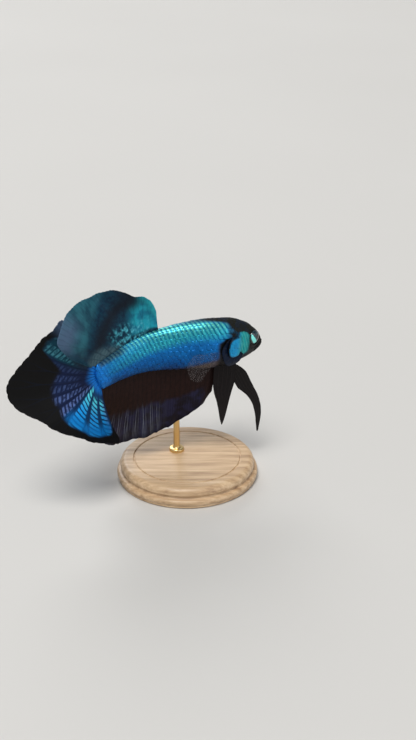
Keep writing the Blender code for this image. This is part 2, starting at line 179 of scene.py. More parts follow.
def axes_at(back):
    """The posed fish's own axes at each station: place, ahead, left and up."""
    turn, dip = (np.interp(back, AXIS_BACK, angles) for angles in (AXIS_TURN, AXIS_DIP))
    place = np.stack([np.interp(back, AXIS_BACK, AXIS_PLACE[:, k]) for k in range(3)], axis=-1)
    ahead = heading(turn, dip)
    left = np.stack([-np.sin(turn), np.cos(turn), np.zeros_like(turn)], axis=-1)
    return place, ahead, left, np.cross(ahead, left)


def posed(back, left, up):
    """Where points of the straight fish stand in the turning stance."""
    place, _, to_left, to_up = axes_at(back)
    return place + np.asarray(left)[..., None] * to_left + np.asarray(up)[..., None] * to_up


AXIS_PLACE += eye_middle() - posed(EYE_BACK, 0.0, EYE_UP)


# ---- the skin's surface


def beyond_gill(back, up):
    """How far outside the gill cover's outline a point of the side lies, in metres; inside it is negative."""
    along, high = abs(back - GILL_BACK) / GILL_HALF_LENGTH, abs(up - GILL_UP) / GILL_HALF_HEIGHT
    return ((along**GILL_POWER + high**GILL_POWER) ** (1 / GILL_POWER) - 1) * GILL_HALF_LENGTH


def from_eye(back, left, up):
    """How far ahead of, out from and above the nearer eye's middle a point lies, in that eye's own frame."""
    ahead, out = EYE_BACK - back, abs(left) - EYE_OUT
    cos, sin = math.cos(EYE_TOE), math.sin(EYE_TOE)
    return ahead * cos - out * sin, ahead * sin + out * cos, up - EYE_UP


def straight_skin(share, turn):
    """(back, left, up) of the skin; turn goes once round, from the left side over the back and under."""
    top, bottom, half_width = body_size(share)
    tall = (top + bottom) / 2
    even = (tall - half_width) / (tall + half_width + 1e-9) / 2  # evens out the steps round a tall section
    around = 2 * np.pi * turn - even * np.sin(4 * np.pi * turn)
    c, s = np.cos(around), np.sin(around)
    rounder = 2 / SECTION_POWER
    back = share * STANDARD_LENGTH
    left = half_width * np.sign(c) * abs(c) ** rounder
    up = np.where(s > 0, top, bottom) * np.sign(s) * abs(s) ** rounder
    beyond = beyond_gill(back, up)
    raised = np.clip((share - GILL_FLARE_FRONT) / (GILL_FLARE_REAR - GILL_FLARE_FRONT), 0, 1)
    left = left * (1 + GILL_FLARE * raised * ease(beyond, 0.16 * MM, -0.10 * MM))
    tucked = raised * ease(beyond, 0, 0.16 * MM) * ease(beyond, 1.0 * MM, 0.3 * MM)
    return back - 0.45 * MM * tucked, left, up


def mouth_line(back):
    return MOUTH_TIP_UP - (MOUTH_CORNER_DROP + MOUTH_TIP_UP) * back / MOUTH_CORNER_BACK


NOSTRILS = ((0.034, 0.034, 0.17), (0.050, 0.056, 0.13))  # (back, up) as shares of the length, radius in mm


def relief(back, left, up):
    """How far the skin stands off the plain form at lips, nostrils, eyes, cheek and gill cover, in metres."""
    # Heights, widths and distances below are in mm
    off_line = (up - mouth_line(back)) / MM
    mouth = ease(back, MOUTH_CORNER_BACK + 0.25 * MM, MOUTH_CORNER_BACK - 0.35 * MM)
    lips = 0.15 * bump(off_line, 0.42, 0.26) + 0.19 * bump(off_line, -0.46, 0.30)
    height = mouth * (lips - 0.34 * bump(off_line, 0, 0.11))
    height -= 0.07 * mouth * (bump(off_line, 0.88, 0.10) + bump(off_line, -1.0, 0.12))
    for at, high, radius in NOSTRILS:
        away = np.hypot(back - at * STANDARD_LENGTH, up - high * STANDARD_LENGTH) / MM
        height += 0.10 * bump(away, radius + 0.12, 0.10) - 0.24 * bump(away, 0, radius)
    ahead, _, above = from_eye(back, left, up)
    away = np.hypot(ahead, above) / MM
    rim = EYE_RADIUS / MM
    height += 0.13 * bump(away, rim + 0.22, 0.20) - 0.12 * bump(away, rim - 0.06, 0.09)
    height -= 0.40 * ease(away, rim - 0.20, rim - 0.75)
    height -= 0.07 * bump(away, rim + 0.85, 0.12) * ease(above / MM, 0.6, -0.2)
    beyond = beyond_gill(back, up) / MM
    front = ease(back, GILL_BACK, GILL_BACK - 0.7 * GILL_HALF_LENGTH)
    height -= front * 0.20 * bump(beyond, 0.05, 0.14)
    height += front * 0.08 * bump(beyond, 0.45, 0.22)
    height += 0.05 * bump(beyond, -0.22, 0.14) * (1 - front)
    spokes = np.sin(9 * np.arctan2(up - GILL_UP, GILL_BACK - 1.6 * GILL_HALF_LENGTH - back))
    height += 0.018 * spokes * ease(beyond, -0.1, -0.5)
    throat = ease(up / MM, -2.2, -3.2) * ease(back, 0.24 * STANDARD_LENGTH, 0.12 * STANDARD_LENGTH)
    height -= 0.16 * throat * bump(left / MM, 0, 0.16)
    return height * MM


def level_of(share, up):
    """A point's height as a share of the back's height there, or of the belly's depth, which counts down."""
    top, bottom, _ = body_size(share)
    return np.where(up > 0, up / np.maximum(top, 1e-6), up / np.maximum(bottom, 1e-6))


def skin_at(share, turn, lift=0.0):
    """Points of the posed skin, raised by lift, and their straight (back, left, up)."""
    step = 1e-3
    near, far = np.clip(share - step, 4e-4, 1 - 4e-4), np.clip(share + step, 4e-4, 1 - 4e-4)
    along = posed(*straight_skin(far, turn)) - posed(*straight_skin(near, turn))
    across = posed(*straight_skin(share, turn + step)) - posed(*straight_skin(share, turn - step))
    normal = np.cross(along, across)
    normal /= np.linalg.norm(normal, axis=-1, keepdims=True)
    straight = straight_skin(share, turn)
    return posed(*straight) + normal * (relief(*straight) + lift - COAT)[..., None], straight


SCALE_PITCH = 1.0 * MM  # from one scale to the next along a row
# Along the body, each (share, level): where the flank's blue ends below, how far down the back's bright rows
# reach and how strong the painted highlight on them is, and where the dark crown ends below
BLUE_EDGE = ((0.26, -0.42), (0.33, -0.52), (0.42, -0.7), (0.5, -0.84), (0.6, -0.93), (0.72, -1.02), (1, -1.2))
BAR_EDGE = ((0.24, 0.42), (0.42, 0.42), (0.55, 0.26), (0.68, 0.08), (0.80, -0.10), (1, -0.25))
BAR_HIGHLIGHT = ((0.24, 0.9), (0.34, 1.0), (0.56, 1.0), (0.68, 0.80), (0.80, 0.55), (0.90, 0.25), (1, 0.0))
CROWN_EDGE = (
    (0.08, 0.28), (0.12, 0.55), (0.15, 0.62), (0.19, 0.60), (0.215, 0.74),
    (0.24, 0.88), (0.33, 0.95), (0.42, 0.985), (0.6, 1.05),
)
# How far forward a cross row of scales leans on its way down
BAR_SLANT = ((0.2, 0.50), (0.40, 0.45), (0.55, 0.28), (1.0, 0.22))


def girth(share):
    top, bottom, half_width = body_size(share)
    return 2 * np.pi * np.sqrt((((top + bottom) / 2) ** 2 + half_width**2) / 2)


def cross_row(share, turn):
    """Counts the slanted cross rows of scales along the body: a scale is rooted wherever it is whole."""
    down = abs((turn + 0.25) % 1 - 0.5) * girth(share)
    return (share * STANDARD_LENGTH + through(BAR_SLANT, 1, share) * down) / SCALE_PITCH


def step_over(value, edge, before, after):
    """A smooth step from 0 to 1 that begins before an edge and ends after it."""
    return ease(value, edge - before, edge + after)


def markings(share, turn, up):
    """The marks that skin and scales share, at every point: all from 0 to 1 but the count of cross rows."""
    level = level_of(share, up)
    trunk = step_over(share, mix(0.288, 0.243, ease(level, 0.15, 0.45)), 0.012, 0.012)
    crown = step_over(level, through(CROWN_EDGE, 1, share), 0.05, 0.05)
    blue = trunk * step_over(level, through(BLUE_EDGE, 1, share), 0.14, 0.10) * (1 - crown)
    # Painted highlight: the back's cross rows of scales keep their own turquoise, brightened where light
    # falls from above
    bars = blue * through(BAR_HIGHLIGHT, 1, share) * step_over(level, through(BAR_EDGE, 1, share), 0.22, 0.22)
    beyond = beyond_gill(share * STANDARD_LENGTH, up) / MM
    cover = np.maximum(ease(beyond, 0.1, -0.6), 0.35 * ease(level, 0.25, 0.45) * ease(share, 0.25, 0.235))
    gill = ease(share, 0.100, 0.145) * np.where(share > 0.19, cover, 1) * (1 - crown)
    gill = gill * step_over(level, mix(-0.42, -0.50, ease(share, 0.15, 0.19)), 0.16, 0.14)
    pale = ease(share, 0.27, 0.31) * ease(share, 0.50, 0.38) * (1 - blue) * ease(level, -1.0, -0.75)
    return {
        "blue": blue,
        "bars": bars,
        # higher up the back the painted highlight on the scale rows turns paler and greener
        "high": ease(level, 0.55, 0.95),
        # painted shade: the flank's blue deepens towards the belly, where less light falls
        "low": ease(level, 0.2, -0.9),
        "dun": blue * ease(share, 0.76, 0.84) * ease(share, 0.985, 0.95) * ease(level, 0.55, 0.85),
        "stalk": blue * ease(share, 0.90, 0.95),
        "gill": gill,
        "teal": ease(share, 0.205, 0.165),
        "pale": pale * ease(level, 0, -0.3),
        "crown": crown,
        "head": 1 - ease(share, 0.27, 0.30),
        "row": cross_row(share, turn),
    }


# ---- shader nodes


class Value:
    """A socket in a material; arithmetic on it adds Math nodes there."""

    def __init__(self, paint, socket):
        self.paint = paint
        self.socket = socket

    def math(self, operation, first, second):
        return self.paint.node("ShaderNodeMath", {"operation": operation}, {0: first, 1: second})

    def __add__(self, other):
        return self.math("ADD", self, other)

    def __sub__(self, other):
        return self.math("SUBTRACT", self, other)

    def __rsub__(self, other):
        return self.math("SUBTRACT", other, self)

    def __mul__(self, other):
        return self.math("MULTIPLY", self, other)

    def __truediv__(self, other):
        return self.math("DIVIDE", self, other)

    def __mod__(self, other):
        return self.math("FLOORED_MODULO", self, other)

    def __abs__(self):
        return self.math("ABSOLUTE", self, 0)

    __radd__ = __add__
    __rmul__ = __mul__


class Paint:
    """The nodes of a procedural material, or of a given world, and the shader they feed."""

    def __init__(self, name, world=None, **sockets):
        self.material = world or bpy.data.materials.new(name)
        self.material.use_nodes = True
        self.nodes = self.material.node_tree.nodes
        self.shader = self.nodes["Background" if world else "Principled BSDF"]
        self.set(**sockets)

    def set(self, **sockets):
        """Sets or links sockets of the shader; an underscore stands for a space."""
        for name, value in sockets.items():
            self.fill(self.shader.inputs[name.replace("_", " ")], value)
        return self

    def fill(self, socket, value):
        if isinstance(value, Value):
            self.material.node_tree.links.new(value.socket, socket)
        elif isinstance(value, tuple) and len(value) == 3 and socket.type == "RGBA":
            socket.default_value = (*value, 1)
        else:
            socket.default_value = value

    def node(self, kind, settings=None, inputs=None, out=0):
        """Adds a node: its settings first, then the values or links of its sockets."""
        made = self.nodes.new(kind)
        for name, value in (settings or {}).items():
            if name == "stops":
                while len(made.color_ramp.elements) < len(value):
                    made.color_ramp.elements.new(1)
                for element, (position, colour) in zip(made.color_ramp.elements, value):
                    element.position = position
                    element.color = (*colour, 1)
            else:
                setattr(made, name, value)
        for name, value in (inputs or {}).items():
            self.fill(made.inputs[name], value)
        return Value(self, made.outputs[out])

    def mark(self, name):
        return self.node("ShaderNodeAttribute", {"attribute_name": name}, out="Fac")

    def mix(self, factor, a, b):
        return self.node("ShaderNodeMix", {"data_type": "RGBA"}, {0: factor, 6: a, 7: b}, out=2)

    def over(self, colour, *layers):
        """A colour with others laid over it in turn, each (how much of it, colour)."""
        for factor, top in layers:
            colour = self.mix(factor, colour, top)
        return colour

    def ease(self, value, low, high):
        settings = {"interpolation_type": "SMOOTHSTEP"}
        return self.node("ShaderNodeMapRange", settings, {"Value": value, "From Min": low, "From Max": high})

    def place(self, scale=(1, 1, 1)):
        """Object coordinates in millimetres, stretched by scale."""
        where = self.node("ShaderNodeTexCoord", out="Object")
        scaled = tuple(x / MM for x in scale)
        return self.node("ShaderNodeVectorMath", {"operation": "MULTIPLY"}, {0: where, 1: scaled})

    def noise(self, per_mm, detail=3.0, rough=0.5, where=None):
        where = where or self.place()
        inputs = {"Vector": where, "Scale": per_mm, "Detail": detail, "Roughness": rough}
        return self.node("ShaderNodeTexNoise", inputs=inputs)

    def bump(self, height, distance):
        """A normal from a height of 0 to 1 that stands for a real distance in metres."""
        return self.node("ShaderNodeBump", inputs={"Height": height, "Distance": distance}, out="Normal")


# ---- making pieces


def grid(first, second):
    return np.meshgrid(first, second, indexing="ij")


def quads(index):
    """The faces of a grid of vertex numbers."""
    corners = (index[:-1, :-1], index[1:, :-1], index[1:, 1:], index[:-1, 1:])
    return np.stack(corners, axis=-1).reshape(-1, 4)


def tube_faces(rings, around):
    """The vertex numbers of rings of points, and the faces between the rings."""
    index = np.arange(rings * around).reshape(rings, around)
    return index, quads(np.concatenate([index, index[:, :1]], axis=1))


def cap_ends(points, faces, index, flipped):
    """Closes a tube's first and last ring with triangles round a point in its middle."""
    for ring, turned_over in ((index[0], flipped), (index[-1], not flipped)):
        points = np.vstack([points, points[ring].mean(axis=0)])
        after = np.roll(ring, -1)
        edge = (after, ring) if turned_over else (ring, after)
        faces = faces + np.stack([*edge, np.full_like(ring, len(points) - 1)], axis=-1).tolist()
    return points, faces


def ends_too(marks):
    """The marks of a tube's points, each with two values more for the middles of its ends."""
    return {mark: np.append(v.ravel(), [v[0].mean(), v[-1].mean()]) for mark, v in marks.items()}


def sheet_faces(rows, columns):
    """The faces of a closed sheet, its lower points numbered after the upper ones, and those of its rim."""
    index = np.arange(rows * columns).reshape(rows, columns)
    edge = np.concatenate([index[0, :], index[1:, -1], index[-1, -2::-1], index[-2:0:-1, 0]])
    after = np.roll(edge, -1)
    rim = np.stack([edge, after, after + index.size, edge + index.size], axis=-1)
    return np.concatenate([quads(index), quads(index + index.size)[:, ::-1], rim]), rim


def put(name, data):
    """Adds an object to the scene."""
    made = bpy.data.objects.new(name, data)
    bpy.context.scene.collection.objects.link(made)
    return made


def add_piece(name, points, faces, paint, nodes=(), marks=None, bake=None):
    """A mesh piece that rides on the model and stands for the named solids."""
    mesh = bpy.data.meshes.new(name)
    mesh.from_pydata(np.asarray(points).reshape(-1, 3).tolist(), [], [list(face) for face in faces])
    for mark, values in (marks or {}).items():
        attribute = mesh.attributes.new(mark, "FLOAT", "POINT")
        attribute.data.foreach_set("value", np.asarray(values, np.float32).ravel())
    if bake is not None:
        layer = mesh.uv_layers.new(name="OFBake")
        layer.data.foreach_set("uv", np.asarray(bake, np.float32).ravel())
    mesh.materials.append(paint.material)
    mesh.shade_smooth()
    piece = put(name, mesh)
    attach(piece, "root")
    if nodes:
        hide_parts(*nodes)
    return piece


def sheet_normals(points):
    normal = np.cross(np.gradient(points, axis=0), np.gradient(points, axis=1))
    return normal / np.maximum(np.linalg.norm(normal, axis=-1, keepdims=True), 1e-12)


def slab(points, half):
    """A grid of points as a closed sheet, half thick on each side: its points, faces and bake map."""
    lift = sheet_normals(points) * half[..., None]
    rows, columns = points.shape[:2]
    faces, rim = sheet_faces(rows, columns)
    u, v = grid(np.linspace(0.02, 0.48, rows), np.linspace(0.02, 0.98, columns))
    near = np.stack([u.ravel(), v.ravel()], axis=-1)
    both = np.concatenate([near, near + (0.5, 0)])
    bake = np.concatenate([both[faces[: -len(rim)].ravel()], near[(rim % len(near)).ravel()]])
    return np.concatenate([(points + lift).reshape(-1, 3), (points - lift).reshape(-1, 3)]), faces, bake


# ---- skin and scales

# HOLLOW_SHADE is painted shade in the skin's hollows
BLACK_SKIN, OLIVE_SKIN, HOLLOW_SHADE = (0.004, 0.0035, 0.004), (0.011, 0.012, 0.008), (0.002, 0.002, 0.003)
# DEEP_BLUE is the lower flank's blue, deepened by painted shade
AZURE, DEEP_BLUE, STALK_BLUE = (0.006, 0.170, 0.520), (0.003, 0.070, 0.300), (0.008, 0.200, 0.700)
# The back's scale rows, their own turquoise with painted highlight: between the rows, then on them lower and
# higher up
BETWEEN_BARS, BAR_CYAN, BAR_GREEN = (0.010, 0.230, 0.350), (0.040, 0.500, 0.600), (0.130, 0.600, 0.480)
GILL_BLUE, CHEEK_TEAL = (0.012, 0.310, 0.640), (0.014, 0.340, 0.370)
# DARK_BELLY is the belly's dark maroon, partly its own colour and partly painted shade
PALE_BELLY, DARK_BELLY = (0.110, 0.085, 0.080), (0.012, 0.007, 0.007)
BETWEEN_DUN, DUN = (0.012, 0.030, 0.035), (0.060, 0.120, 0.125)
# painted shade at the scales' rims, also used for their random darker tone
SCALE_SHADE_AND_TONE = (0.002, 0.020, 0.070)


def zigzag(value):
    """Falls from 1 to 0 and rises again between one whole number and the next."""
    return abs(value % 1.0 - 0.5) * 2


def body_colour(paint):
    """The body's markings, the same on skin and scales."""
    mark, patches, glint = paint.mark, paint.noise(0.25, 2.0), paint.noise(0.8, 3.0)
    # The blue deepens lower on the flank as painted shade, with random patches
    deep = mark("low") * 0.75 + 0.3 * paint.ease(patches, 0.4, 0.7)
    bar = paint.ease(zigzag(mark("row") + 0.2), 0.80, 0.25) * (0.55 + 0.7 * glint)
    cheek = paint.mix(mark("teal"), GILL_BLUE, paint.mix(bar * 0.3, CHEEK_TEAL, BAR_GREEN))
    return paint.over(
        # below the blue the belly is dark maroon: partly its own colour, partly painted shade
        paint.mix(mark("head"), DARK_BELLY, BLACK_SKIN),
        (mark("crown") * 0.7, OLIVE_SKIN),
        (mark("pale") * (0.55 + 0.5 * patches), PALE_BELLY),
        (mark("blue"), paint.over(AZURE, (deep, DEEP_BLUE), (mark("stalk"), STALK_BLUE))),
        # painted highlight on the back's scale rows, over their own turquoise
        (mark("bars"), paint.mix(bar, BETWEEN_BARS, paint.mix(mark("high"), BAR_CYAN, BAR_GREEN))),
        (mark("dun") * 0.85, paint.mix(bar * 0.6, BETWEEN_DUN, DUN)),
        (paint.ease(mark("gill") + 0.7 * glint, 0.50, 1.30), cheek),
    )


def sheen_of(paint):
    """Where the body shines like foil: all of its blues."""
    return paint.ease(paint.mark("blue") + paint.mark("gill"), 0.1, 0.8)


def skin_paint():
    paint = Paint("betta_skin", Specular_IOR_Level=0.15, Coat_Weight=0.03, Coat_Roughness=0.15)
    pores, mottle = paint.noise(7.0, 3.0, 0.6), paint.ease(paint.noise(0.9, 3.0), 0.35, 0.7)
    # painted shade in the eye sockets, the gill opening and the line between the lips
    colour = paint.over(body_colour(paint), (mottle * 0.4, BLACK_SKIN), (paint.mark("socket"), HOLLOW_SHADE))
    rough = 0.36 + 0.2 * pores + 0.2 * paint.mark("crown")
    paint.set(Base_Color=colour, Metallic=sheen_of(paint) * 0.5, Roughness=rough)
    return paint.set(Normal=paint.bump(pores, 0.03 * MM))


def scale_paint():
    """Each scale is foil-bright where it shows and a little darker at its rim, where shade is painted; its
    tone also differs at random from one scale to the next.
    """
    paint = Paint("betta_scales", Specular_IOR_Level=0.15, Coat_Weight=0.05, Coat_Roughness=0.2)
    mark, along, across = paint.mark, paint.mark("along"), paint.mark("across")
    rim = paint.ease(along + 0.22 * across * across, 0.90, 1.10)
    growth = zigzag((along + 0.12 * across * across) * 9.0)
    base = body_colour(paint)
    shade_and_tone = paint.mix(0.75, base, SCALE_SHADE_AND_TONE)
    # painted shade at each scale's rim, stronger among the back's bright rows, then a random tone per scale
    rim_shade_and_tone = (rim * (0.30 + 0.40 * mark("bars")), shade_and_tone), ((mark("pick") - 0.5) * 0.4 + 0.1, shade_and_tone)
    sheen = sheen_of(paint)
    rough = 0.46 - sheen * 0.10 + 0.05 * growth + 0.2 * mark("crown")
    paint.set(Base_Color=paint.over(base, *rim_shade_and_tone), Metallic=sheen * 0.62, Roughness=rough)
    return paint.set(Normal=paint.bump(growth, 0.004 * MM))


ROUND_STEPS = 272  # points round the body


def skin_stations():
    """Stations from lips to tail stalk, closest where the skin is round or in fine relief."""
    snout = SNOUT_ROUNDING * (1 - np.cos(np.linspace(0.03, np.pi / 2, 34)))
    head = np.linspace(SNOUT_ROUNDING, 0.29, 142)[1:]
    trunk = np.linspace(0.29, 1 - STALK_ROUNDING, 140)[1:]
    stalk = 1 - STALK_ROUNDING * (1 - np.sin(np.linspace(0, np.pi / 2 - 0.03, 20)[1:]))
    return np.concatenate([snout, head, trunk, stalk])


def hollows(share, back, left, up):
    """Where painted shade darkens the skin: the eye sockets, the gill opening and the line between the lips.
    """
    ahead, _, above = from_eye(back, left, up)
    socket = ease(np.hypot(ahead, above), EYE_RADIUS + 0.10 * MM, EYE_RADIUS - 0.05 * MM)
    beyond = beyond_gill(back, up)
    slit = ease(beyond, -0.04 * MM, 0.08 * MM) * ease(beyond, 0.9 * MM, 0.5 * MM) * ease(share, 0.19, 0.22)
    lips = ease(abs(up - mouth_line(back)), 0.10 * MM, 0.03 * MM)
    lips = lips * ease(back, MOUTH_CORNER_BACK + 0.1 * MM, MOUTH_CORNER_BACK - 0.2 * MM)
    return np.maximum(np.maximum(socket, slit), lips)


def make_skin():
    """The whole body as one surface, from lips to tail stalk, with no seam where the solids part."""
    stations = skin_stations()
    share, turn = grid(stations, np.arange(ROUND_STEPS) / ROUND_STEPS - 0.25)
    points, straight = skin_at(share, turn)
    index, faces = tube_faces(len(stations), ROUND_STEPS)
    points, faces = cap_ends(points.reshape(-1, 3), faces.tolist(), index, flipped=False)
    u, v = grid(stations, np.arange(ROUND_STEPS + 1) / ROUND_STEPS)
    flat = np.stack([v.ravel(), u.ravel()], axis=-1) * 0.98 + 0.01
    side = flat[quads(np.arange(len(flat)).reshape(u.shape)).ravel()]
    ends = np.repeat([(0.005, 0.01), (0.005, 0.99)], 3 * ROUND_STEPS, axis=0)
    marks = ends_too({**markings(share, turn, straight[2]), "socket": hollows(share, *straight)})
    nodes = ("head", "lower_jaw", "gill_cover_left", "gill_cover_right", "trunk", "tail_stalk")
    bake = np.concatenate([side, ends])
    return add_piece("betta_skin", points, faces, skin_paint(), nodes, marks, bake)


SCALE_ROWS = 26  # round the body
SCALE_LENGTH = 1.75 * MM
SCALE_WIDTH = 1.32  # as a share of a row's width
SCALE_THICKNESS = 0.03 * MM
SCALE_RISE = 0.055  # slope of a scale away from the skin
SCALE_STEPS, SCALE_LANES = 9, 7
HEAD_SCALE = 0.82  # a head scale's length as a share of a flank scale's
SIZE_SPREAD, RISE_SPREAD = 0.06, 0.25  # how much scales differ from one another
BAKE_PATCH = 0.003  # the side of each scale's own patch of the bake map


def scale_sites():
    """Where each scale is rooted: (share, turn), one for each cross row in each row along the body."""
    shares = np.linspace(0, 1, 2001)
    sites = []
    for row in range(SCALE_ROWS):
        turn = (row + 0.5) / SCALE_ROWS
        count = cross_row(shares, turn)
        roots = np.interp(np.arange(math.ceil(count[0]), count[-1]), count, shares)
        sites.extend((share, turn) for share in roots)
    return np.array(sites)


def bare_places(share, turn):
    """True where no scale is rooted: eyes, gill opening, lips, throat and the stalk's very end."""
    back, left, up = straight_skin(share, turn)
    tip_back, _, tip_up = straight_skin(share + 0.95 * SCALE_LENGTH / STANDARD_LENGTH, turn)
    ahead, _, above = from_eye(back + 0.4 * SCALE_LENGTH, left, up)
    beyond, tip_beyond = beyond_gill(back, up), beyond_gill(tip_back, tip_up)
    crosses = (beyond < 0.35 * MM) & (tip_beyond > -0.05 * MM) & (share > 0.15) & (share < 0.26)
    by_eye = np.hypot(ahead, above) < EYE_RADIUS + 0.75 * MM
    lips = (share < 0.07) | (share < 0.095) & (up < 4.2 * MM)
    throat = (share < 0.27) & (level_of(share, up) < -0.72)
    return by_eye | crosses | lips | throat | (share > 0.972)


def make_scales():
    """Thin overlapping plates, each laid on the skin with its rear edge raised, as three joined meshes."""
    sites = scale_sites()
    sites = sites[~bare_places(*sites.T)]
    paint = scale_paint()
    on_head = sites[:, 0] < 0.25
    left_side = np.cos(2 * np.pi * sites[:, 1]) >= 0
    lay_scales("scales_head", sites[on_head], paint)
    lay_scales("scales_left", sites[~on_head & left_side], paint)
    lay_scales("scales_right", sites[~on_head & ~left_side], paint)


def lay_scales(name, sites, paint):
    count = len(sites)
    closer_at_ends = (1 - np.cos(np.linspace(0, np.pi, SCALE_STEPS))) / 2
    along, across = grid(closer_at_ends, np.linspace(-1, 1, SCALE_LANES))
    rounding = np.maximum((1 - abs(2 * along - 1) ** 2.6) ** (1 / 2.2), 0.06)
    root_share, root_turn = sites.T[..., None, None]
    size = 1 + SIZE_SPREAD * rng.standard_normal((count, 1, 1))
    length = SCALE_LENGTH * size * mix(1, HEAD_SCALE, ease(root_share, 0.25, 0.12))
    half_width = SCALE_WIDTH / 2 * girth(root_share) / SCALE_ROWS * size
    share = np.clip(root_share + along * length / STANDARD_LENGTH, 0.001, 0.999)
    turn = root_turn + across * rounding * half_width / girth(root_share)
    rise = SCALE_RISE * (1 + RISE_SPREAD * rng.standard_normal((count, 1, 1))) * along * length + 0.02 * MM
    dome = 0.030 * MM * (1 - across**2) * rounding - 0.02 * MM * along**6
    upper, (_, _, up) = skin_at(share, turn, rise + dome + SCALE_THICKNESS)
    lower, _ = skin_at(share, turn, rise + dome)
    one, _ = sheet_faces(SCALE_STEPS, SCALE_LANES)
    faces = (one[None] + 2 * along.size * np.arange(count)[:, None, None]).reshape(-1, 4)
    points = np.concatenate([upper.reshape(count, -1, 3), lower.reshape(count, -1, 3)], axis=1)
    spot = np.stack([across / 2, along - 0.5], axis=-1).reshape(-1, 2) * BAKE_PATCH
    root = np.stack([(sites[:, 1] + 0.25) % 1, sites[:, 0]], axis=-1) * 0.98 + 0.01
    bake = root[:, None, :] + np.concatenate([spot, spot])[one.ravel()]
    marks = markings(share, turn, up)
    for mark, values in (("along", along), ("across", across), ("pick", rng.random((count, 1, 1)))):
        marks[mark] = np.broadcast_to(values, share.shape)
    doubled = {k: np.repeat(values.reshape(count, 1, -1), 2, axis=1) for k, values in marks.items()}
    return add_piece(name, points, faces, paint, (), doubled, bake)


# ---- fins


def ray_point(base_back, base_up, degrees, length, bend=0.0, curl=0.0):
    """(back, left, up) at the end of a ray, as in the solids: bend turns it left and curl turns it down."""
    bend = np.radians(bend)
    bend = np.where(abs(bend) < 1e-4, 1e-4, bend)
    angle = np.radians(degrees) - np.radians(curl) / 2
    flat = length * np.sin(bend) / bend
    left = length * (1 - np.cos(bend)) / bend
    return base_back + flat * np.cos(angle), left, base_up + flat * np.sin(angle)


# Along each fin, from its first ray to its last: (share of the rays, length in mm, lean, sideways bend)
DORSAL_FRONT, DORSAL_REAR = 0.590, 0.975
DORSAL_RAYS = (
    (0.00, 5.4, 88, -20),
    (0.05, 8.5, 88, -30),
    (0.10, 10.5, 88, -34),
    (0.16, 11.5, 87, -30),
    (0.22, 11.0, 85, -20),
    (0.29, 12.7, 82, -6),
    (0.38, 14.6, 79, 8),
    (0.50, 15.2, 74, 24),
    (0.72, 18.1, 58, 2),
    (0.84, 18.6, 43, -26),
    (0.90, 14.5, 36, -34),
    (0.94, 9.0, 30, -40),
    (1.00, 3.0, 24, -44),
)
ANAL_FRONT, ANAL_REAR = 0.280, 0.985
ANAL_RAYS = (
    (0.00, 7.2, -82, 0),
    (0.10, 9.6, -85, -8),
    (0.30, 15.0, -84, 6),
    (0.50, 17.2, -80, -4),
    (0.75, 18.6, -75, 12),
    (1.00, 14.8, -69, 24),
)
CAUDAL_RAYS = (
    (0.00, 14.6, 76, 30),
    (0.15, 16.6, 56, 6),
    (0.30, 18.0, 35, 12),
    (0.43, 22.4, 10, 2),
    (0.55, 16.0, -12, -24),
    (0.70, 13.8, -40, -62),
    (0.85, 13.8, -64, -60),
    (1.00, 14.8, -86, -36),
)
CAUDAL_BASE_TURN = math.radians(72)
FIN_ROOT = 0.45 * MM  # how deep a fin is rooted in the skin
DORSAL_SUNK = 0.5 * MM  # how much deeper the dorsal fin's last ray is rooted
CAUDAL_ASIDE = 0.18 * MM  # the tail fin's first ray stands beside the dorsal fin's last


def spread(table, u, v, base_back, base_up):
    """Points of a fin whose rays follow a table, each ray grown to the share v of its length."""
    length, lean, bend = (through(table, k, u) for k in (1, 2, 3))
    return ray_point(base_back, base_up, lean, v * length * MM, bend * v)


def dorsal_point(u, v):
    share = mix(DORSAL_FRONT, DORSAL_REAR, u)
    base_up = body_size(share)[0] + GAP - DORSAL_SUNK * ease(u, 0.93, 1.0)
    return spread(DORSAL_RAYS, u, v, share * STANDARD_LENGTH, base_up)


def anal_point(u, v):
    share = mix(ANAL_FRONT, ANAL_REAR, u)
    return spread(ANAL_RAYS, u, v, share * STANDARD_LENGTH, -body_size(share)[1] - GAP)


def caudal_point(u, v):
    turn = (1 - 2 * u) * CAUDAL_BASE_TURN
    end = 1 - STALK_ROUNDING
    back = end * STANDARD_LENGTH + (STALK_ROUNDING * STANDARD_LENGTH + GAP) * np.cos(turn)
    back, left, up = spread(CAUDAL_RAYS, u, v, back, (body_size(end)[0] + GAP) * np.sin(turn))
    return back, left + CAUDAL_ASIDE * ease(u, 0.12, 0), up


PECTORAL_SHARE, PECTORAL_UP = 0.305, -0.040 * STANDARD_LENGTH
PECTORAL_LENGTH, PECTORAL_ROOT = 8.5 * MM, 2.4 * MM
PECTORAL_OUT = math.radians(26)
PECTORAL_LEAN, PECTORAL_SPREAD = -16, 54


def pectoral_point(side):
    def point(u, v):
        q = 2 * u - 1
        length = PECTORAL_LENGTH * (1 - 0.25 * q * q)
        reach = v * length * math.cos(PECTORAL_OUT)
        lean = PECTORAL_LEAN - PECTORAL_SPREAD / 2 * q
        base = PECTORAL_SHARE * STANDARD_LENGTH, PECTORAL_UP - PECTORAL_ROOT / 2 * q
        back, _, up = ray_point(*base, lean, reach)
        out = body_size(PECTORAL_SHARE)[2] + GAP + v * length * math.sin(PECTORAL_OUT)
        return back, side * out, up

    return point


PELVIC_SHARE, PELVIC_LEFT = 0.205, 0.9 * MM
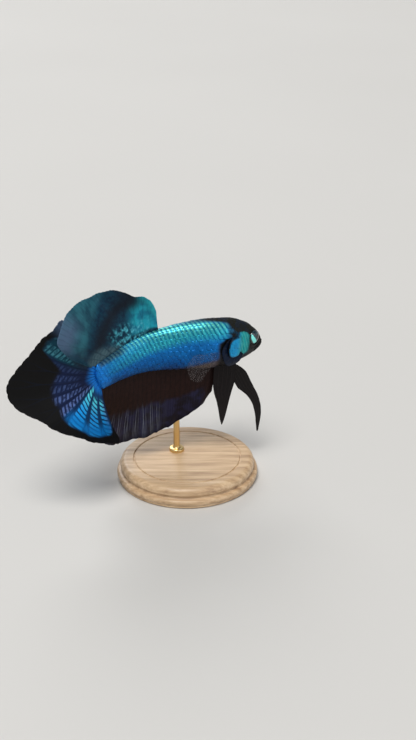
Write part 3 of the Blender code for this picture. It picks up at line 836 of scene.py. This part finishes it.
# Along each streamer: (share of its length, reach ahead of its middle line, reach behind it), both in mm
PELVIC_LEFT_REACH = (
    (0.00, 1.9, 1.3),
    (0.10, 2.2, 2.4),
    (0.20, 2.1, 3.2),
    (0.30, 1.5, 4.0),
    (0.40, 1.0, 4.6),
    (0.48, 0.9, 4.6),
    (0.58, 1.2, 2.8),
    (0.70, 1.4, 1.5),
    (0.80, 1.2, 0.9),
    (0.90, 0.7, 0.7),
    (1.00, 0.2, 0.4),
)
PELVIC_RIGHT_REACH = (
    (0.00, 2.0, 4.1),
    (0.15, 2.2, 4.3),
    (0.30, 2.2, 4.3),
    (0.45, 1.8, 3.9),
    (0.60, 1.4, 2.9),
    (0.80, 1.0, 1.7),
    (0.90, 0.7, 1.1),
    (1.00, 0.2, 0.3),
)
# Each streamer's side, length in mm, lean, outward bend, curl and reach
PELVIC_FINS = (
    ("pelvic_fin_left", LEFT, 25.0, -158.5, 2, -60, PELVIC_LEFT_REACH),
    ("pelvic_fin_right", RIGHT, 15.5, -91, 10, -12, PELVIC_RIGHT_REACH),
)


def pelvic_point(side, length, lean, outward, curl, reach):
    def point(u, v):
        across = mix(-through(reach, 1, v), through(reach, 2, v), u) * MM
        base = PELVIC_SHARE * STANDARD_LENGTH, -body_size(PELVIC_SHARE)[1] - GAP
        back, left, up = ray_point(*base, lean, v * length * MM, outward * v, curl * v)
        return back + across, side * (PELVIC_LEFT + left), up

    return point


MEMBRANE_TOP, MEMBRANE_FRONT = 62, -146  # its ends, as degrees round the gill cover
MEMBRANE_DEPTH = 1.1 * MM
MEMBRANE_BEARD = 2.6 * MM
MEMBRANE_FLARE = math.radians(16)


def flank(back, up):
    """How far out the body's surface is at a height, taking what is past the back or belly as its edge."""
    top, bottom, half_width = body_size(back / STANDARD_LENGTH)
    level = np.minimum(abs(up) / np.where(up > 0, top, bottom), 0.97)
    return half_width * (1 - level**SECTION_POWER) ** (1 / SECTION_POWER)


def membrane_point(side):
    def point(u, v):
        around = np.radians(mix(MEMBRANE_TOP, MEMBRANE_FRONT, u))
        ends = np.sin(np.pi * (0.02 + 0.96 * u)) ** 1.5
        beard = np.maximum(0, -np.sin(around + math.radians(24))) ** 2
        out = v * ends * (MEMBRANE_DEPTH + MEMBRANE_BEARD * beard)
        back = GILL_BACK + (GILL_HALF_LENGTH + GAP + out) * np.cos(around)
        up = GILL_UP + (GILL_HALF_HEIGHT + GAP + out) * np.sin(around)
        left = flank(back, up) + GAP + out * math.tan(MEMBRANE_FLARE)
        return back, side * left, up

    return point


FIRST_FORK, SECOND_FORK = 0.25, 0.125  # how far a ray's branches part at each, as shares of the rays' spacing
RAGGED, ROUND_CORNER = 0.014, 0.08  # how much shorter rays are here and there, and at a fin's corners
RIDGE_HALF_WIDTH = 0.085  # of a ray, in mm


def rayed_fin(
    node, point, rays, lanes, rows, paint,
    forks=(0.32, 0.62), web=0.06, ray=0.15, wave=0.3, marked=None, spacing=None,
):
    """A fin as a thin closed sheet with raised rays that fork twice on their way to a finely notched edge.

    web and ray are the sheet's half thickness in mm between the rays and on them, and wave is how far its
    edge ripples, also in mm. marked gives the fin's own marks, and spacing says where along it each ray
    stands, if they are uneven.
    """
    place, v = grid(np.linspace(0, rays - 1, (rays - 1) * lanes + 1), np.linspace(0, 1, rows))
    u = through(list(enumerate(spacing)), 1, place) if spacing else place / (rays - 1)
    off = place - np.round(place)
    first = FIRST_FORK * ease(v, forks[0], forks[0] + 0.35)
    second = SECOND_FORK * ease(v, forks[1], forks[1] + 0.30)
    off_ray = abs(abs(abs(off) - first) - second)
    notch = NOTCH * ease(v, 0.75, 1) * np.minimum(off_ray * 4, 1) ** 2
    ragged = RAGGED * np.sin(place * 2.3 + 1) * np.sin(place * 0.9) * v
    corner = ROUND_CORNER * np.clip(1 - np.minimum(u, 1 - u) / 0.06, 0, 1) ** 2
    points = posed(*point(u, v * (1.015 - notch - abs(ragged) - corner)))
    ripple = np.sin(place * 1.15 + 4 * v) + 0.6 * np.sin(place * 2.1 - 5 * v + 1)
    points = points + sheet_normals(points) * (wave * MM * v**1.6 * ripple)[..., None]
    outward = points[:, 1] - points[:, 0]
    outward /= np.linalg.norm(outward, axis=-1, keepdims=True)
    points[:, 0] = posed(*point(u[:, 0], 0 * u[:, 0])) - outward * (FIN_ROOT + GAP)
    apart = np.linalg.norm(np.gradient(points, axis=0), axis=-1) * lanes / MM
    ridge = bump(off_ray * apart, 0, RIDGE_HALF_WIDTH)
    half = (web * mix(1.0, 0.7, v) + (ray - web) * ridge * mix(1, 0.35, v)) * MM
    half[:, -1] *= 0.5
    steps = np.linalg.norm(np.diff(points, axis=1), axis=-1)
    run = np.pad(np.cumsum(steps, axis=1), ((0, 0), (1, 0)))
    lane = np.clip(np.floor(place), 0, rays - 2)
    marks = {"ridge": ridge, "off": abs(off), "lane": lane, "across": place - lane - 0.5, "run": run / MM}
    if marked:
        marks.update(marked(u, v))
    solid, faces, bake = slab(points, half)
    doubled = {mark: np.tile(values.ravel(), 2) for mark, values in marks.items()}
    return add_piece(f"rayed_{node}", solid, faces, paint, (node,), doubled, bake)


# ---- fin colours

# SLATE_SHADE is painted shade in the corner by the tail fin's root, under the dorsal fin's rear
FIN_BLACK, HAZE, SLATE_SHADE = (0.003, 0.0028, 0.003), (0.085, 0.135, 0.230), (0.012, 0.034, 0.058)
FIN_SHINE = {"Specular_IOR_Level": 0.1, "Coat_Weight": 0.03, "Coat_Roughness": 0.2}

# The tail fin's colours along its edge: how far out the colour begins and ends, its teal and its ladder
CAUDAL_COLOURS = (
    (0.00, 0.05, 0.55, 0.25, 0.00),
    (0.10, 0.10, 0.78, 0.40, 0.00),
    (0.18, 0.42, 0.92, 0.85, 0.00),
    (0.25, 0.40, 0.90, 1.00, 0.00),
    (0.285, 0.20, 0.72, 0.10, 0.05),
    (0.34, 0.24, 0.52, 0.00, 0.18),
    (0.42, 0.22, 0.52, 0.00, 0.26),
    (0.52, 0.14, 0.66, 0.00, 0.55),
    (0.585, 0.05, 0.78, 0.00, 0.75),
    (0.64, 0.06, 0.84, 0.00, 1.00),
    (0.74, 0.20, 0.88, 0.10, 0.90),
    (0.92, 0.22, 0.81, 0.10, 0.95),
    (1.00, 0.25, 0.72, 0.10, 0.50),
)
# Where along the tail fin each of its rays stands
CAUDAL_SPACING = (0.00, 0.09, 0.18, 0.275, 0.345, 0.405, 0.465, 0.525, 0.59, 0.70, 0.85, 1.00)


def caudal_marks(u, v):
    start, reach, teal, ladder = (through(CAUDAL_COLOURS, k, u) for k in (1, 2, 3, 4))
    inside = ease(v, reach + 0.03, reach - 0.07)
    lower = ease(u, 0.56, 0.62)
    return {
        "inside": inside,
        "teal": teal * inside * ease(v, start - 0.15, start + 0.15),
        # painted shade by the root of the tail fin's upper lobe
        "slate": ease(u, 0.32, 0.20) * ease(v, 0.08, 0.20) * ease(v, 0.55, 0.35),
        "ladder": ladder * inside * ease(v, start - 0.05, start + 0.08),
        "bright": lower * ease(u, 1.02, 0.90),
        "rim": inside * lower * ease(v, reach - 0.26, reach - 0.10) * ease(u, 1.0, 0.94),
        "root": ease(v, 0.15, 0.02) * ease(u, 0.02, 0.15),
        "haze": ease(u, 0.17, 0.08) * ease(v, 0.35, 0.65),
    }


def caudal_paint():
    """Navy with bright rungs between the rays, a teal upper band and a wide black edge."""
    paint = Paint("tail_fin", **FIN_SHINE)
    mark, run, off, ladder = paint.mark, paint.mark("run"), paint.mark("off"), paint.mark("ladder")
    bright, wobble, glint = mark("bright"), paint.noise(0.8, 2.0), paint.noise(1.1, 3.0)
    rung = zigzag(run / 1.15 - 1.2 * mark("across") + 0.41 * mark("lane") + 0.5 * wobble)
    rung = paint.ease(rung, 0.78, 0.40) * paint.ease(off, 0.12, 0.26)
    rung = rung * paint.ease(glint + 0.38 * bright, 0.30, 0.58)
    near_stalk = paint.ease(run, 9.0, 3.0)
    cyan = paint.mix(near_stalk, (0.015, 0.340, 0.850), (0.120, 0.800, 0.900))
    light = paint.mix(bright, (0.115, 0.185, 0.450), cyan)
    colour = paint.over(
        FIN_BLACK,
        (mark("inside"), paint.mix(bright, (0.005, 0.012, 0.050), (0.004, 0.045, 0.140))),
        # painted shade by the root of the upper lobe
        (mark("slate"), SLATE_SHADE),
        (mark("teal"), paint.mix(rung * (0.3 + 0.7 * glint), (0.006, 0.050, 0.080), (0.065, 0.260, 0.340))),
        (rung * ladder * (0.80 + 0.6 * glint + 0.15 * bright), light),
        (mark("rim") * (0.5 + 0.6 * wobble), (0.006, 0.190, 0.560)),
        (mark("root") * 0.9, STALK_BLUE),
        (mark("haze") * (0.4 + 0.7 * wobble), HAZE),
        (mark("ridge") * paint.ease(off, 0.30, 0.05) * 0.6, (0.002, 0.006, 0.020)),
    )
    shine = paint.ease(ladder + mark("teal") + mark("root"), 0.0, 0.8)
    return paint.set(Base_Color=colour, Metallic=shine * 0.4, Roughness=0.55 - shine * 0.15)


def dorsal_marks(u, v):
    lobe = ease(u, mix(0.46, 0.26, v), mix(0.28, 0.16, v)) * ease(v, 0.02, 0.12)
    # painted highlight along the front lobe's upper and front edges
    rim = ease(v, 0.72, 0.92) * ease(u, 0.24, 0.14) + ease(u, 0.12, 0.02) * ease(v, 0.4, 0.7)
    # painted shade where the fin folds away from the light
    fold = bump(u, mix(0.76, 0.26, ease(v, 0.10, 0.90)), mix(0.16, 0.09, v)) * ease(v, 0.08, 0.26)
    rear = ease(u, mix(0.95, 0.34, v), mix(1.1, 0.50, v)) * ease(v, 0.30, 0.55)
    speckle = ease(v, mix(0.44, 0.34, u), mix(0.28, 0.16, u)) * ease(u, 0.05, 0.18) * ease(u, 0.68, 0.54)
    haze = ease(u, 0.66, 0.80) * ease(u, 0.94, 0.86) * ease(v, 0.55, 0.85)
    reach = v * through(DORSAL_RAYS, 1, u)
    edge = mix(1.4, 4.4, ease(u, 0.60, 0.84))
    dun = ease(u, 0.44, 0.66) * ease(reach, edge + 1.0, edge - 2.4)
    marks = {"lobe": lobe, "rim": np.clip(rim, 0, 1), "fold": fold, "rear": rear, "speckle": speckle}
    # slate is painted shade over the dorsal fin's last rays, by the tail fin's root
    return {**marks, "haze": haze, "dun": dun, "slate": ease(u, 0.84, 0.92) * ease(v, 0.1, 0.3)}


def dorsal_paint():
    """A bright cyan front lobe with a painted highlight along its edge, painted shade in its fold and by the
    tail's root, and a muted teal rear that pales to violet.
    """
    paint = Paint("dorsal_fin", **FIN_SHINE)
    mark, run, across, lane = paint.mark, paint.mark("run"), paint.mark("across"), paint.mark("lane")
    glint, cloud = paint.noise(1.0, 3.0), paint.noise(0.35, 2.0)
    dash = zigzag(run + 0.9 * across + 0.41 * lane + 0.8 * glint)
    dash = paint.ease(dash, 0.75, 0.35) * paint.ease(mark("off"), 0.06, 0.2)
    teal = paint.mix(paint.ease(cloud, 0.35, 0.65), (0.012, 0.064, 0.098), (0.028, 0.138, 0.182))
    lobe = paint.mix(paint.ease(cloud, 0.40, 0.60), (0.012, 0.195, 0.310), (0.018, 0.360, 0.480))
    along_rays = paint.node("ShaderNodeCombineXYZ", inputs={0: across + lane, 1: run / 2.6})
    fleck = paint.ease(paint.noise(2.2, 2.0, 0.5, along_rays), 0.42, 0.68) * (0.55 + 0.45 * dash)
    colour = paint.over(
        paint.mix(paint.ease(glint, 0.3, 0.7), (0.004, 0.020, 0.045), (0.006, 0.045, 0.080)),
        (mark("rear"), teal),
        (mark("haze") * 0.8, HAZE),
        (mark("lobe"), lobe),
        # painted highlight on the front lobe's edge
        (mark("rim") * (0.3 + 0.7 * cloud), (0.045, 0.620, 0.700)),
        (fleck * mark("speckle"), (0.085, 0.460, 0.580)),
        # painted shade in the fold
        (mark("fold") * 0.92, (0.006, 0.009, 0.016)),
        # painted shade over the last rays, by the tail fin's root
        (mark("slate") * 0.8, SLATE_SHADE),
        (mark("dun") * (0.25 + 0.25 * dash + 0.6 * glint), (0.072, 0.132, 0.155)),
        (mark("ridge") * 0.25, (0.003, 0.012, 0.020)),
    )
    shine = paint.ease(mark("lobe") + mark("speckle") + mark("rear") * 0.5, 0.0, 1.0)
    return paint.set(Base_Color=colour, Metallic=shine * 0.35, Roughness=0.55 - shine * 0.15)


def anal_marks(u, v):
    below = ease(v, 0.42, 0.60)
    rays = below * ease(u, 0.35, 0.52) * ease(u, 1.0, 0.9)
    return {"violet": below * ease(u, 0.02, 0.15), "rays": rays, "edge": ease(v, 0.90, 1.0)}


def anal_paint():
    """Maroon-black at the base, violet-blue below with pale rays."""
    paint = Paint("anal_fin", Specular_IOR_Level=0.08, Coat_Weight=0.03, Coat_Roughness=0.25)
    mark, ridge, rays = paint.mark, paint.mark("ridge"), paint.mark("rays")
    glint, streak = paint.noise(1.1, 3.0), paint.noise(0.5, 2.0)
    violet = paint.mix(paint.ease(streak, 0.35, 0.65), (0.010, 0.009, 0.016), (0.018, 0.018, 0.048))
    pick = (mark("lane") + mark("across")) * 0.618 % 1.0
    lit = ridge * rays * (0.15 + 0.85 * paint.ease(pick, 0.2, 0.9)) * (0.3 + 0.8 * glint)
    colour = paint.over(
        paint.mix(glint, (0.007, 0.0030, 0.0028), (0.024, 0.0095, 0.008)),
        (paint.ease(mark("violet") + 0.5 * streak, 0.40, 1.15) * 0.85, violet),
        (lit, (0.130, 0.145, 0.180)),
        (ridge * (1 - rays) * 0.4, (0.003, 0.002, 0.003)),
        (mark("edge") * 0.7, (0.004, 0.004, 0.012)),
    )
    return paint.set(Base_Color=colour, Metallic=mark("violet") * 0.2, Roughness=0.5)


def streamer_paint(name, dark, light):
    """The near-black skin of the streamers, or of the gill membranes."""
    paint = Paint(name, **FIN_SHINE)
    colour = paint.mix(paint.noise(1.4, 3.0), dark, light)
    colour = paint.mix(paint.mark("ridge") * 0.35, colour, (0.018, 0.013, 0.013))
    return paint.set(Base_Color=colour, Roughness=0.45)


def clear_paint():
    """The side fins' clear web on smoky rays."""
    paint = Paint("clear_fin", Specular_IOR_Level=0.3, Coat_Weight=0.1, Coat_Roughness=0.1)
    ridge = paint.mark("ridge")
    colour = paint.mix(ridge, (0.060, 0.058, 0.062), (0.075, 0.062, 0.060))
    return paint.set(Base_Color=colour, Roughness=0.4, Alpha=0.04 + 0.16 * ridge)


UNFORKED = (2, 2)  # forks beyond a ray's end


def make_fins():
    streamer = streamer_paint("black_streamer", (0.003, 0.0025, 0.003), (0.010, 0.007, 0.007))
    membrane = streamer_paint("gill_membrane", (0.003, 0.004, 0.008), (0.004, 0.014, 0.045))
    clear = clear_paint()
    rayed_fin("dorsal_fin", dorsal_point, 12, 24, 100, dorsal_paint(), marked=dorsal_marks)
    rayed_fin("anal_fin", anal_point, 26, 14, 90, anal_paint(), marked=anal_marks)
    rayed_fin(
        "caudal_fin", caudal_point, len(CAUDAL_SPACING), 30, 104, caudal_paint(),
        forks=(0.60, 0.84), wave=0.22, marked=caudal_marks, spacing=CAUDAL_SPACING,
    )
    for label, side in SIDES:
        name = f"pectoral_fin_{label}"
        rayed_fin(name, pectoral_point(side), 11, 12, 60, clear, web=0.035, ray=0.09, wave=0.12)
        name = f"gill_membrane_{label}"
        rayed_fin(name, membrane_point(side), 8, 20, 22, membrane, UNFORKED, wave=0.10)
    for name, *form in PELVIC_FINS:
        rayed_fin(name, pelvic_point(*form), 6, 12, 150, streamer, wave=0.10)


# ---- eyes

PUPIL = 0.44  # radius as a share of the eye's
PUPIL_AHEAD, PUPIL_ABOVE = 0.34, 0.18
LENS_HEIGHT = 0.10 * MM
BEHIND_EYE = 1.3  # how far from the pupil the rear half of the ball is taken to be


def eye_paint():
    """A black pupil in a dark iris, with a bright cyan crescent behind and below it, where the iris's own
    cyan carries a painted highlight.
    """
    paint = Paint("betta_eye", Roughness=0.16, Coat_Weight=0.6, Coat_Roughness=0.02)
    ahead, above, away = paint.mark("ahead"), paint.mark("above"), paint.mark("away")
    streak = paint.noise(5.0, 2.0)
    ring = paint.ease(away, PUPIL - 0.02, PUPIL + 0.02) * paint.ease(away, PUPIL + 0.14, PUPIL + 0.05)
    behind, beside = ahead * -0.74 - above * 0.67, ahead * 0.67 - above * 0.74
    # painted highlight: the crescent of the iris behind and below the pupil, over its own cyan
    crescent_highlight = paint.ease(behind, 0.10, 0.20) * paint.ease(behind + 0.20 * beside * beside, 0.74, 0.62)
    crescent_highlight = crescent_highlight * paint.ease(abs(beside), 1.02, 0.90)
    colour = paint.over(
        paint.mix(paint.ease(streak, 0.35, 0.7), (0.004, 0.010, 0.014), (0.012, 0.045, 0.060)),
        (ring * 0.7, (0.050, 0.150, 0.160)),
        (crescent_highlight, paint.mix(streak, (0.10, 0.86, 0.80), (0.36, 1.0, 0.93))),
        (paint.ease(away, PUPIL + 0.02, PUPIL - 0.02), (0.001, 0.001, 0.002)),
        (paint.ease(away, 1.10, 1.24), (0.002, 0.003, 0.004)),
    )
    return paint.set(Base_Color=colour, Metallic=crescent_highlight * 0.2)


def make_eyes():
    """Each eye a flattened ball with a raised lens over the pupil, from its solid's middle."""
    paint = eye_paint()
    rings, spokes = 56, 96
    index, plain = tube_faces(rings, spokes)
    tip, spin = grid(np.linspace(0.02, np.pi - 0.02, rings), np.arange(spokes) / spokes * 2 * np.pi)
    ahead, above, front = np.sin(tip) * np.cos(spin), np.sin(tip) * np.sin(spin), np.cos(tip) > 0
    away = np.hypot(ahead - PUPIL_AHEAD, above - PUPIL_ABOVE)
    depth = EYE_HALF_DEPTH * 0.97 * np.cos(tip) + LENS_HEIGHT * ease(away, 0.62, 0.20) * front
    marks = ends_too({"ahead": ahead, "above": above, "away": np.where(front, away, BEHIND_EYE)})
    _, to_ahead, to_left, to_up = axes_at(EYE_BACK)
    cos, sin, size = math.cos(EYE_TOE), math.sin(EYE_TOE), EYE_RADIUS * 0.99
    for label, side in SIDES:
        low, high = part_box(f"eye_{label}")
        forward, out = to_ahead * cos - side * to_left * sin, side * to_left * cos + to_ahead * sin
        ways = (ahead * size, forward), (above * size, to_up), (depth, out)
        points = np.array((low + high) / 2) + sum(amount[..., None] * way for amount, way in ways)
        mirrored = side == LEFT
        faces = (plain[:, ::-1] if mirrored else plain).tolist()
        points, faces = cap_ends(points.reshape(-1, 3), faces, index, mirrored)
        add_piece(f"glass_eye_{label}", points, faces, paint, (f"eye_{label}",), marks)


# ---- stand

MAPLE = (
    (0.30, (0.32, 0.19, 0.10)),
    (0.48, (0.52, 0.35, 0.20)),
    (0.62, (0.64, 0.46, 0.28)),
    (0.80, (0.70, 0.53, 0.35)),
)


def wood_paint():
    """Pale maple with fine long grain, a few darker lines and a satin finish."""
    paint = Paint("maple", Coat_Weight=0.25, Coat_Roughness=0.25)
    grain = paint.noise(1.0, 6.0, 0.65, paint.place((0.05, 0.9, 0.9)))
    fibre = paint.noise(1.0, 4.0, 0.6, paint.place((0.25, 5.0, 5.0)))
    colour = paint.node("ShaderNodeValToRGB", {"stops": MAPLE}, {"Fac": grain})
    colour = paint.mix(paint.ease(fibre, 0.50, 0.75) * 0.35, colour, (0.36, 0.22, 0.12))
    paint.set(Base_Color=colour, Roughness=0.36 + 0.22 * fibre)
    return paint.set(Normal=paint.bump(fibre, 0.03 * MM))


def brass_paint():
    """Brushed brass, a little darker in its scratches."""
    paint = Paint("brass", Metallic=1.0)
    brushed = paint.noise(1.0, 4.0, 0.6, paint.place((6.0, 6.0, 0.35)))
    colour = paint.mix(brushed, (0.62, 0.42, 0.16), (0.86, 0.66, 0.34))
    paint.set(Base_Color=colour, Roughness=0.20 + 0.22 * brushed)
    return paint.set(Normal=paint.bump(brushed, 0.004 * MM))


def turned(name, profile, middle, paint, node, segments=128):
    """A turned piece: a profile of (radius, height), from bottom to top, spun about an upright axis."""
    radius, height = np.array(profile, float).T[..., None]
    spin = np.arange(segments) / segments * 2 * np.pi
    x, y = middle.x + radius * np.cos(spin), middle.y + radius * np.sin(spin)
    points = np.stack([x, y, np.broadcast_to(height, x.shape)], axis=-1)
    index, faces = tube_faces(len(profile), segments)
    faces = [*faces[:, ::-1].tolist(), index[0, ::-1].tolist(), index[-1].tolist()]
    piece = add_piece(name, points, faces, paint, (node,))
    piece.data.set_sharp_from_angle(angle=math.radians(38))
    return piece


def arc(middle, radius, start, end, steps=8):
    """Points of an arc in a profile, angles in degrees."""
    angles = np.radians(np.linspace(start, end, steps))
    return [(middle[0] + radius * math.cos(a), middle[1] + radius * math.sin(a)) for a in angles]


def make_stand():
    low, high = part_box("stand_base")
    middle, radius, height = (low + high) / 2, (high.x - low.x) / 2, high.z
    foot, bead = 0.4 * MM, 0.9 * MM
    profile = [
        (radius - 2 * foot, low.z),
        (radius - foot, low.z + 0.4 * foot),
        (radius - 0.6 * foot, low.z + foot),
        *arc((radius - bead, 1.45 * MM), bead, -55, 62),
        *arc((radius - bead + 0.20 * MM, 2.75 * MM), 0.55 * MM, 250, 110),
        *arc((radius - 2.4 * MM, height - 1.5 * MM), 1.5 * MM, 8, 90, 12),
        *arc((radius - 4.4 * MM, height), 0.28 * MM, 0, -180, 7),
        (radius - 6 * MM, height),
        (radius - 9 * MM, height),
        (4.0 * MM, height),
    ]
    turned("turned_base", profile, middle, wood_paint(), "stand_base")
    low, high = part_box("stand_rod")
    middle, thick, bottom = (low + high) / 2, (high.x - low.x) / 2, low.z - GAP - 0.2 * MM
    collar, shoulder = 1.9 * MM, bottom + 0.75 * MM
    profile = [
        (collar, bottom),
        (collar, shoulder),
        *arc((collar - 0.35 * MM, shoulder), 0.35 * MM, 10, 90, 6),
        *arc((thick + 0.55 * MM, bottom + 1.65 * MM), 0.55 * MM, 270, 180, 7),
        *((thick, z) for z in np.linspace(bottom + 2.2 * MM, high.z, 12)),
    ]
    turned("brass_rod", profile, middle, brass_paint(), "stand_rod", 64)


# ---- studio

AIM = Vector((5.3, 0, 29.3)) * MM
VIEW_HEIGHT = 183.17 * MM  # what the frame's height spans at the aim
CAMERA_ELEVATION = math.radians(25)
CAMERA_DISTANCE = 0.30
FLOOR_HALF = 3.0


def stand_facing(thing, place, direction, axis):
    """Stands a camera or lamp at a place, with its own axis along a direction."""
    thing.location = place
    thing.rotation_mode = "QUATERNION"
    thing.rotation_quaternion = direction.to_track_quat(axis, "Y")


def make_camera():
    data = bpy.data.cameras.new("camera")
    camera = put("camera", data)
    away = Vector((0, -math.cos(CAMERA_ELEVATION), math.sin(CAMERA_ELEVATION)))
    stand_facing(camera, AIM + away * CAMERA_DISTANCE, -away, "-Z")
    data.lens = data.sensor_width * CAMERA_DISTANCE / VIEW_HEIGHT
    data.clip_start, data.clip_end = 0.01, 20
    bpy.context.scene.camera = camera


def soft_light(name, towards, strength, width, colour=(1, 1, 1)):
    """A distant soft light that stands in a direction and looks as many degrees wide."""
    data = bpy.data.lights.new(name, "SUN")
    data.angle = math.radians(width)
    data.energy = strength
    data.color = colour
    stand_facing(put(name, data), AIM + Vector(towards), Vector(towards), "Z")


def make_studio():
    mesh = bpy.data.meshes.new("floor")
    corners = [(x * FLOOR_HALF, y * FLOOR_HALF, 0) for x, y in ((-1, -1), (1, -1), (1, 1), (-1, 1))]
    mesh.from_pydata(corners, [], [(0, 1, 2, 3)])
    paint = Paint("pale_floor", Roughness=0.7)
    paint.set(Base_Color=paint.mix(paint.noise(0.004, 2.0), (0.57, 0.56, 0.54), (0.62, 0.61, 0.59)))
    mesh.materials.append(paint.material)
    put("floor", mesh)
    sky = Paint("studio", bpy.data.worlds.new("studio"))
    direction = sky.node("ShaderNodeTexCoord", out="Generated")
    height = sky.node("ShaderNodeSeparateXYZ", inputs={0: direction}, out="Z")
    sky.set(Color=sky.mix(sky.ease(height, 0.42, 0.04), (0.20, 0.21, 0.225), (0.66, 0.66, 0.65)))
    bpy.context.scene.world = sky.material
    bpy.context.scene.view_settings.view_transform = "Standard"
    soft_light("key", (-0.06, -0.20, 0.46), 2.4, 29, (1.0, 0.98, 0.95))
    soft_light("fill", (0.40, -0.30, 0.18), 0.5, 36, (0.92, 0.96, 1.0))
    soft_light("rim", (-0.15, 0.40, 0.30), 1.0, 32)


def main():
    make_skin()
    make_scales()
    make_fins()
    make_eyes()
    make_stand()
    make_camera()
    make_studio()


main()
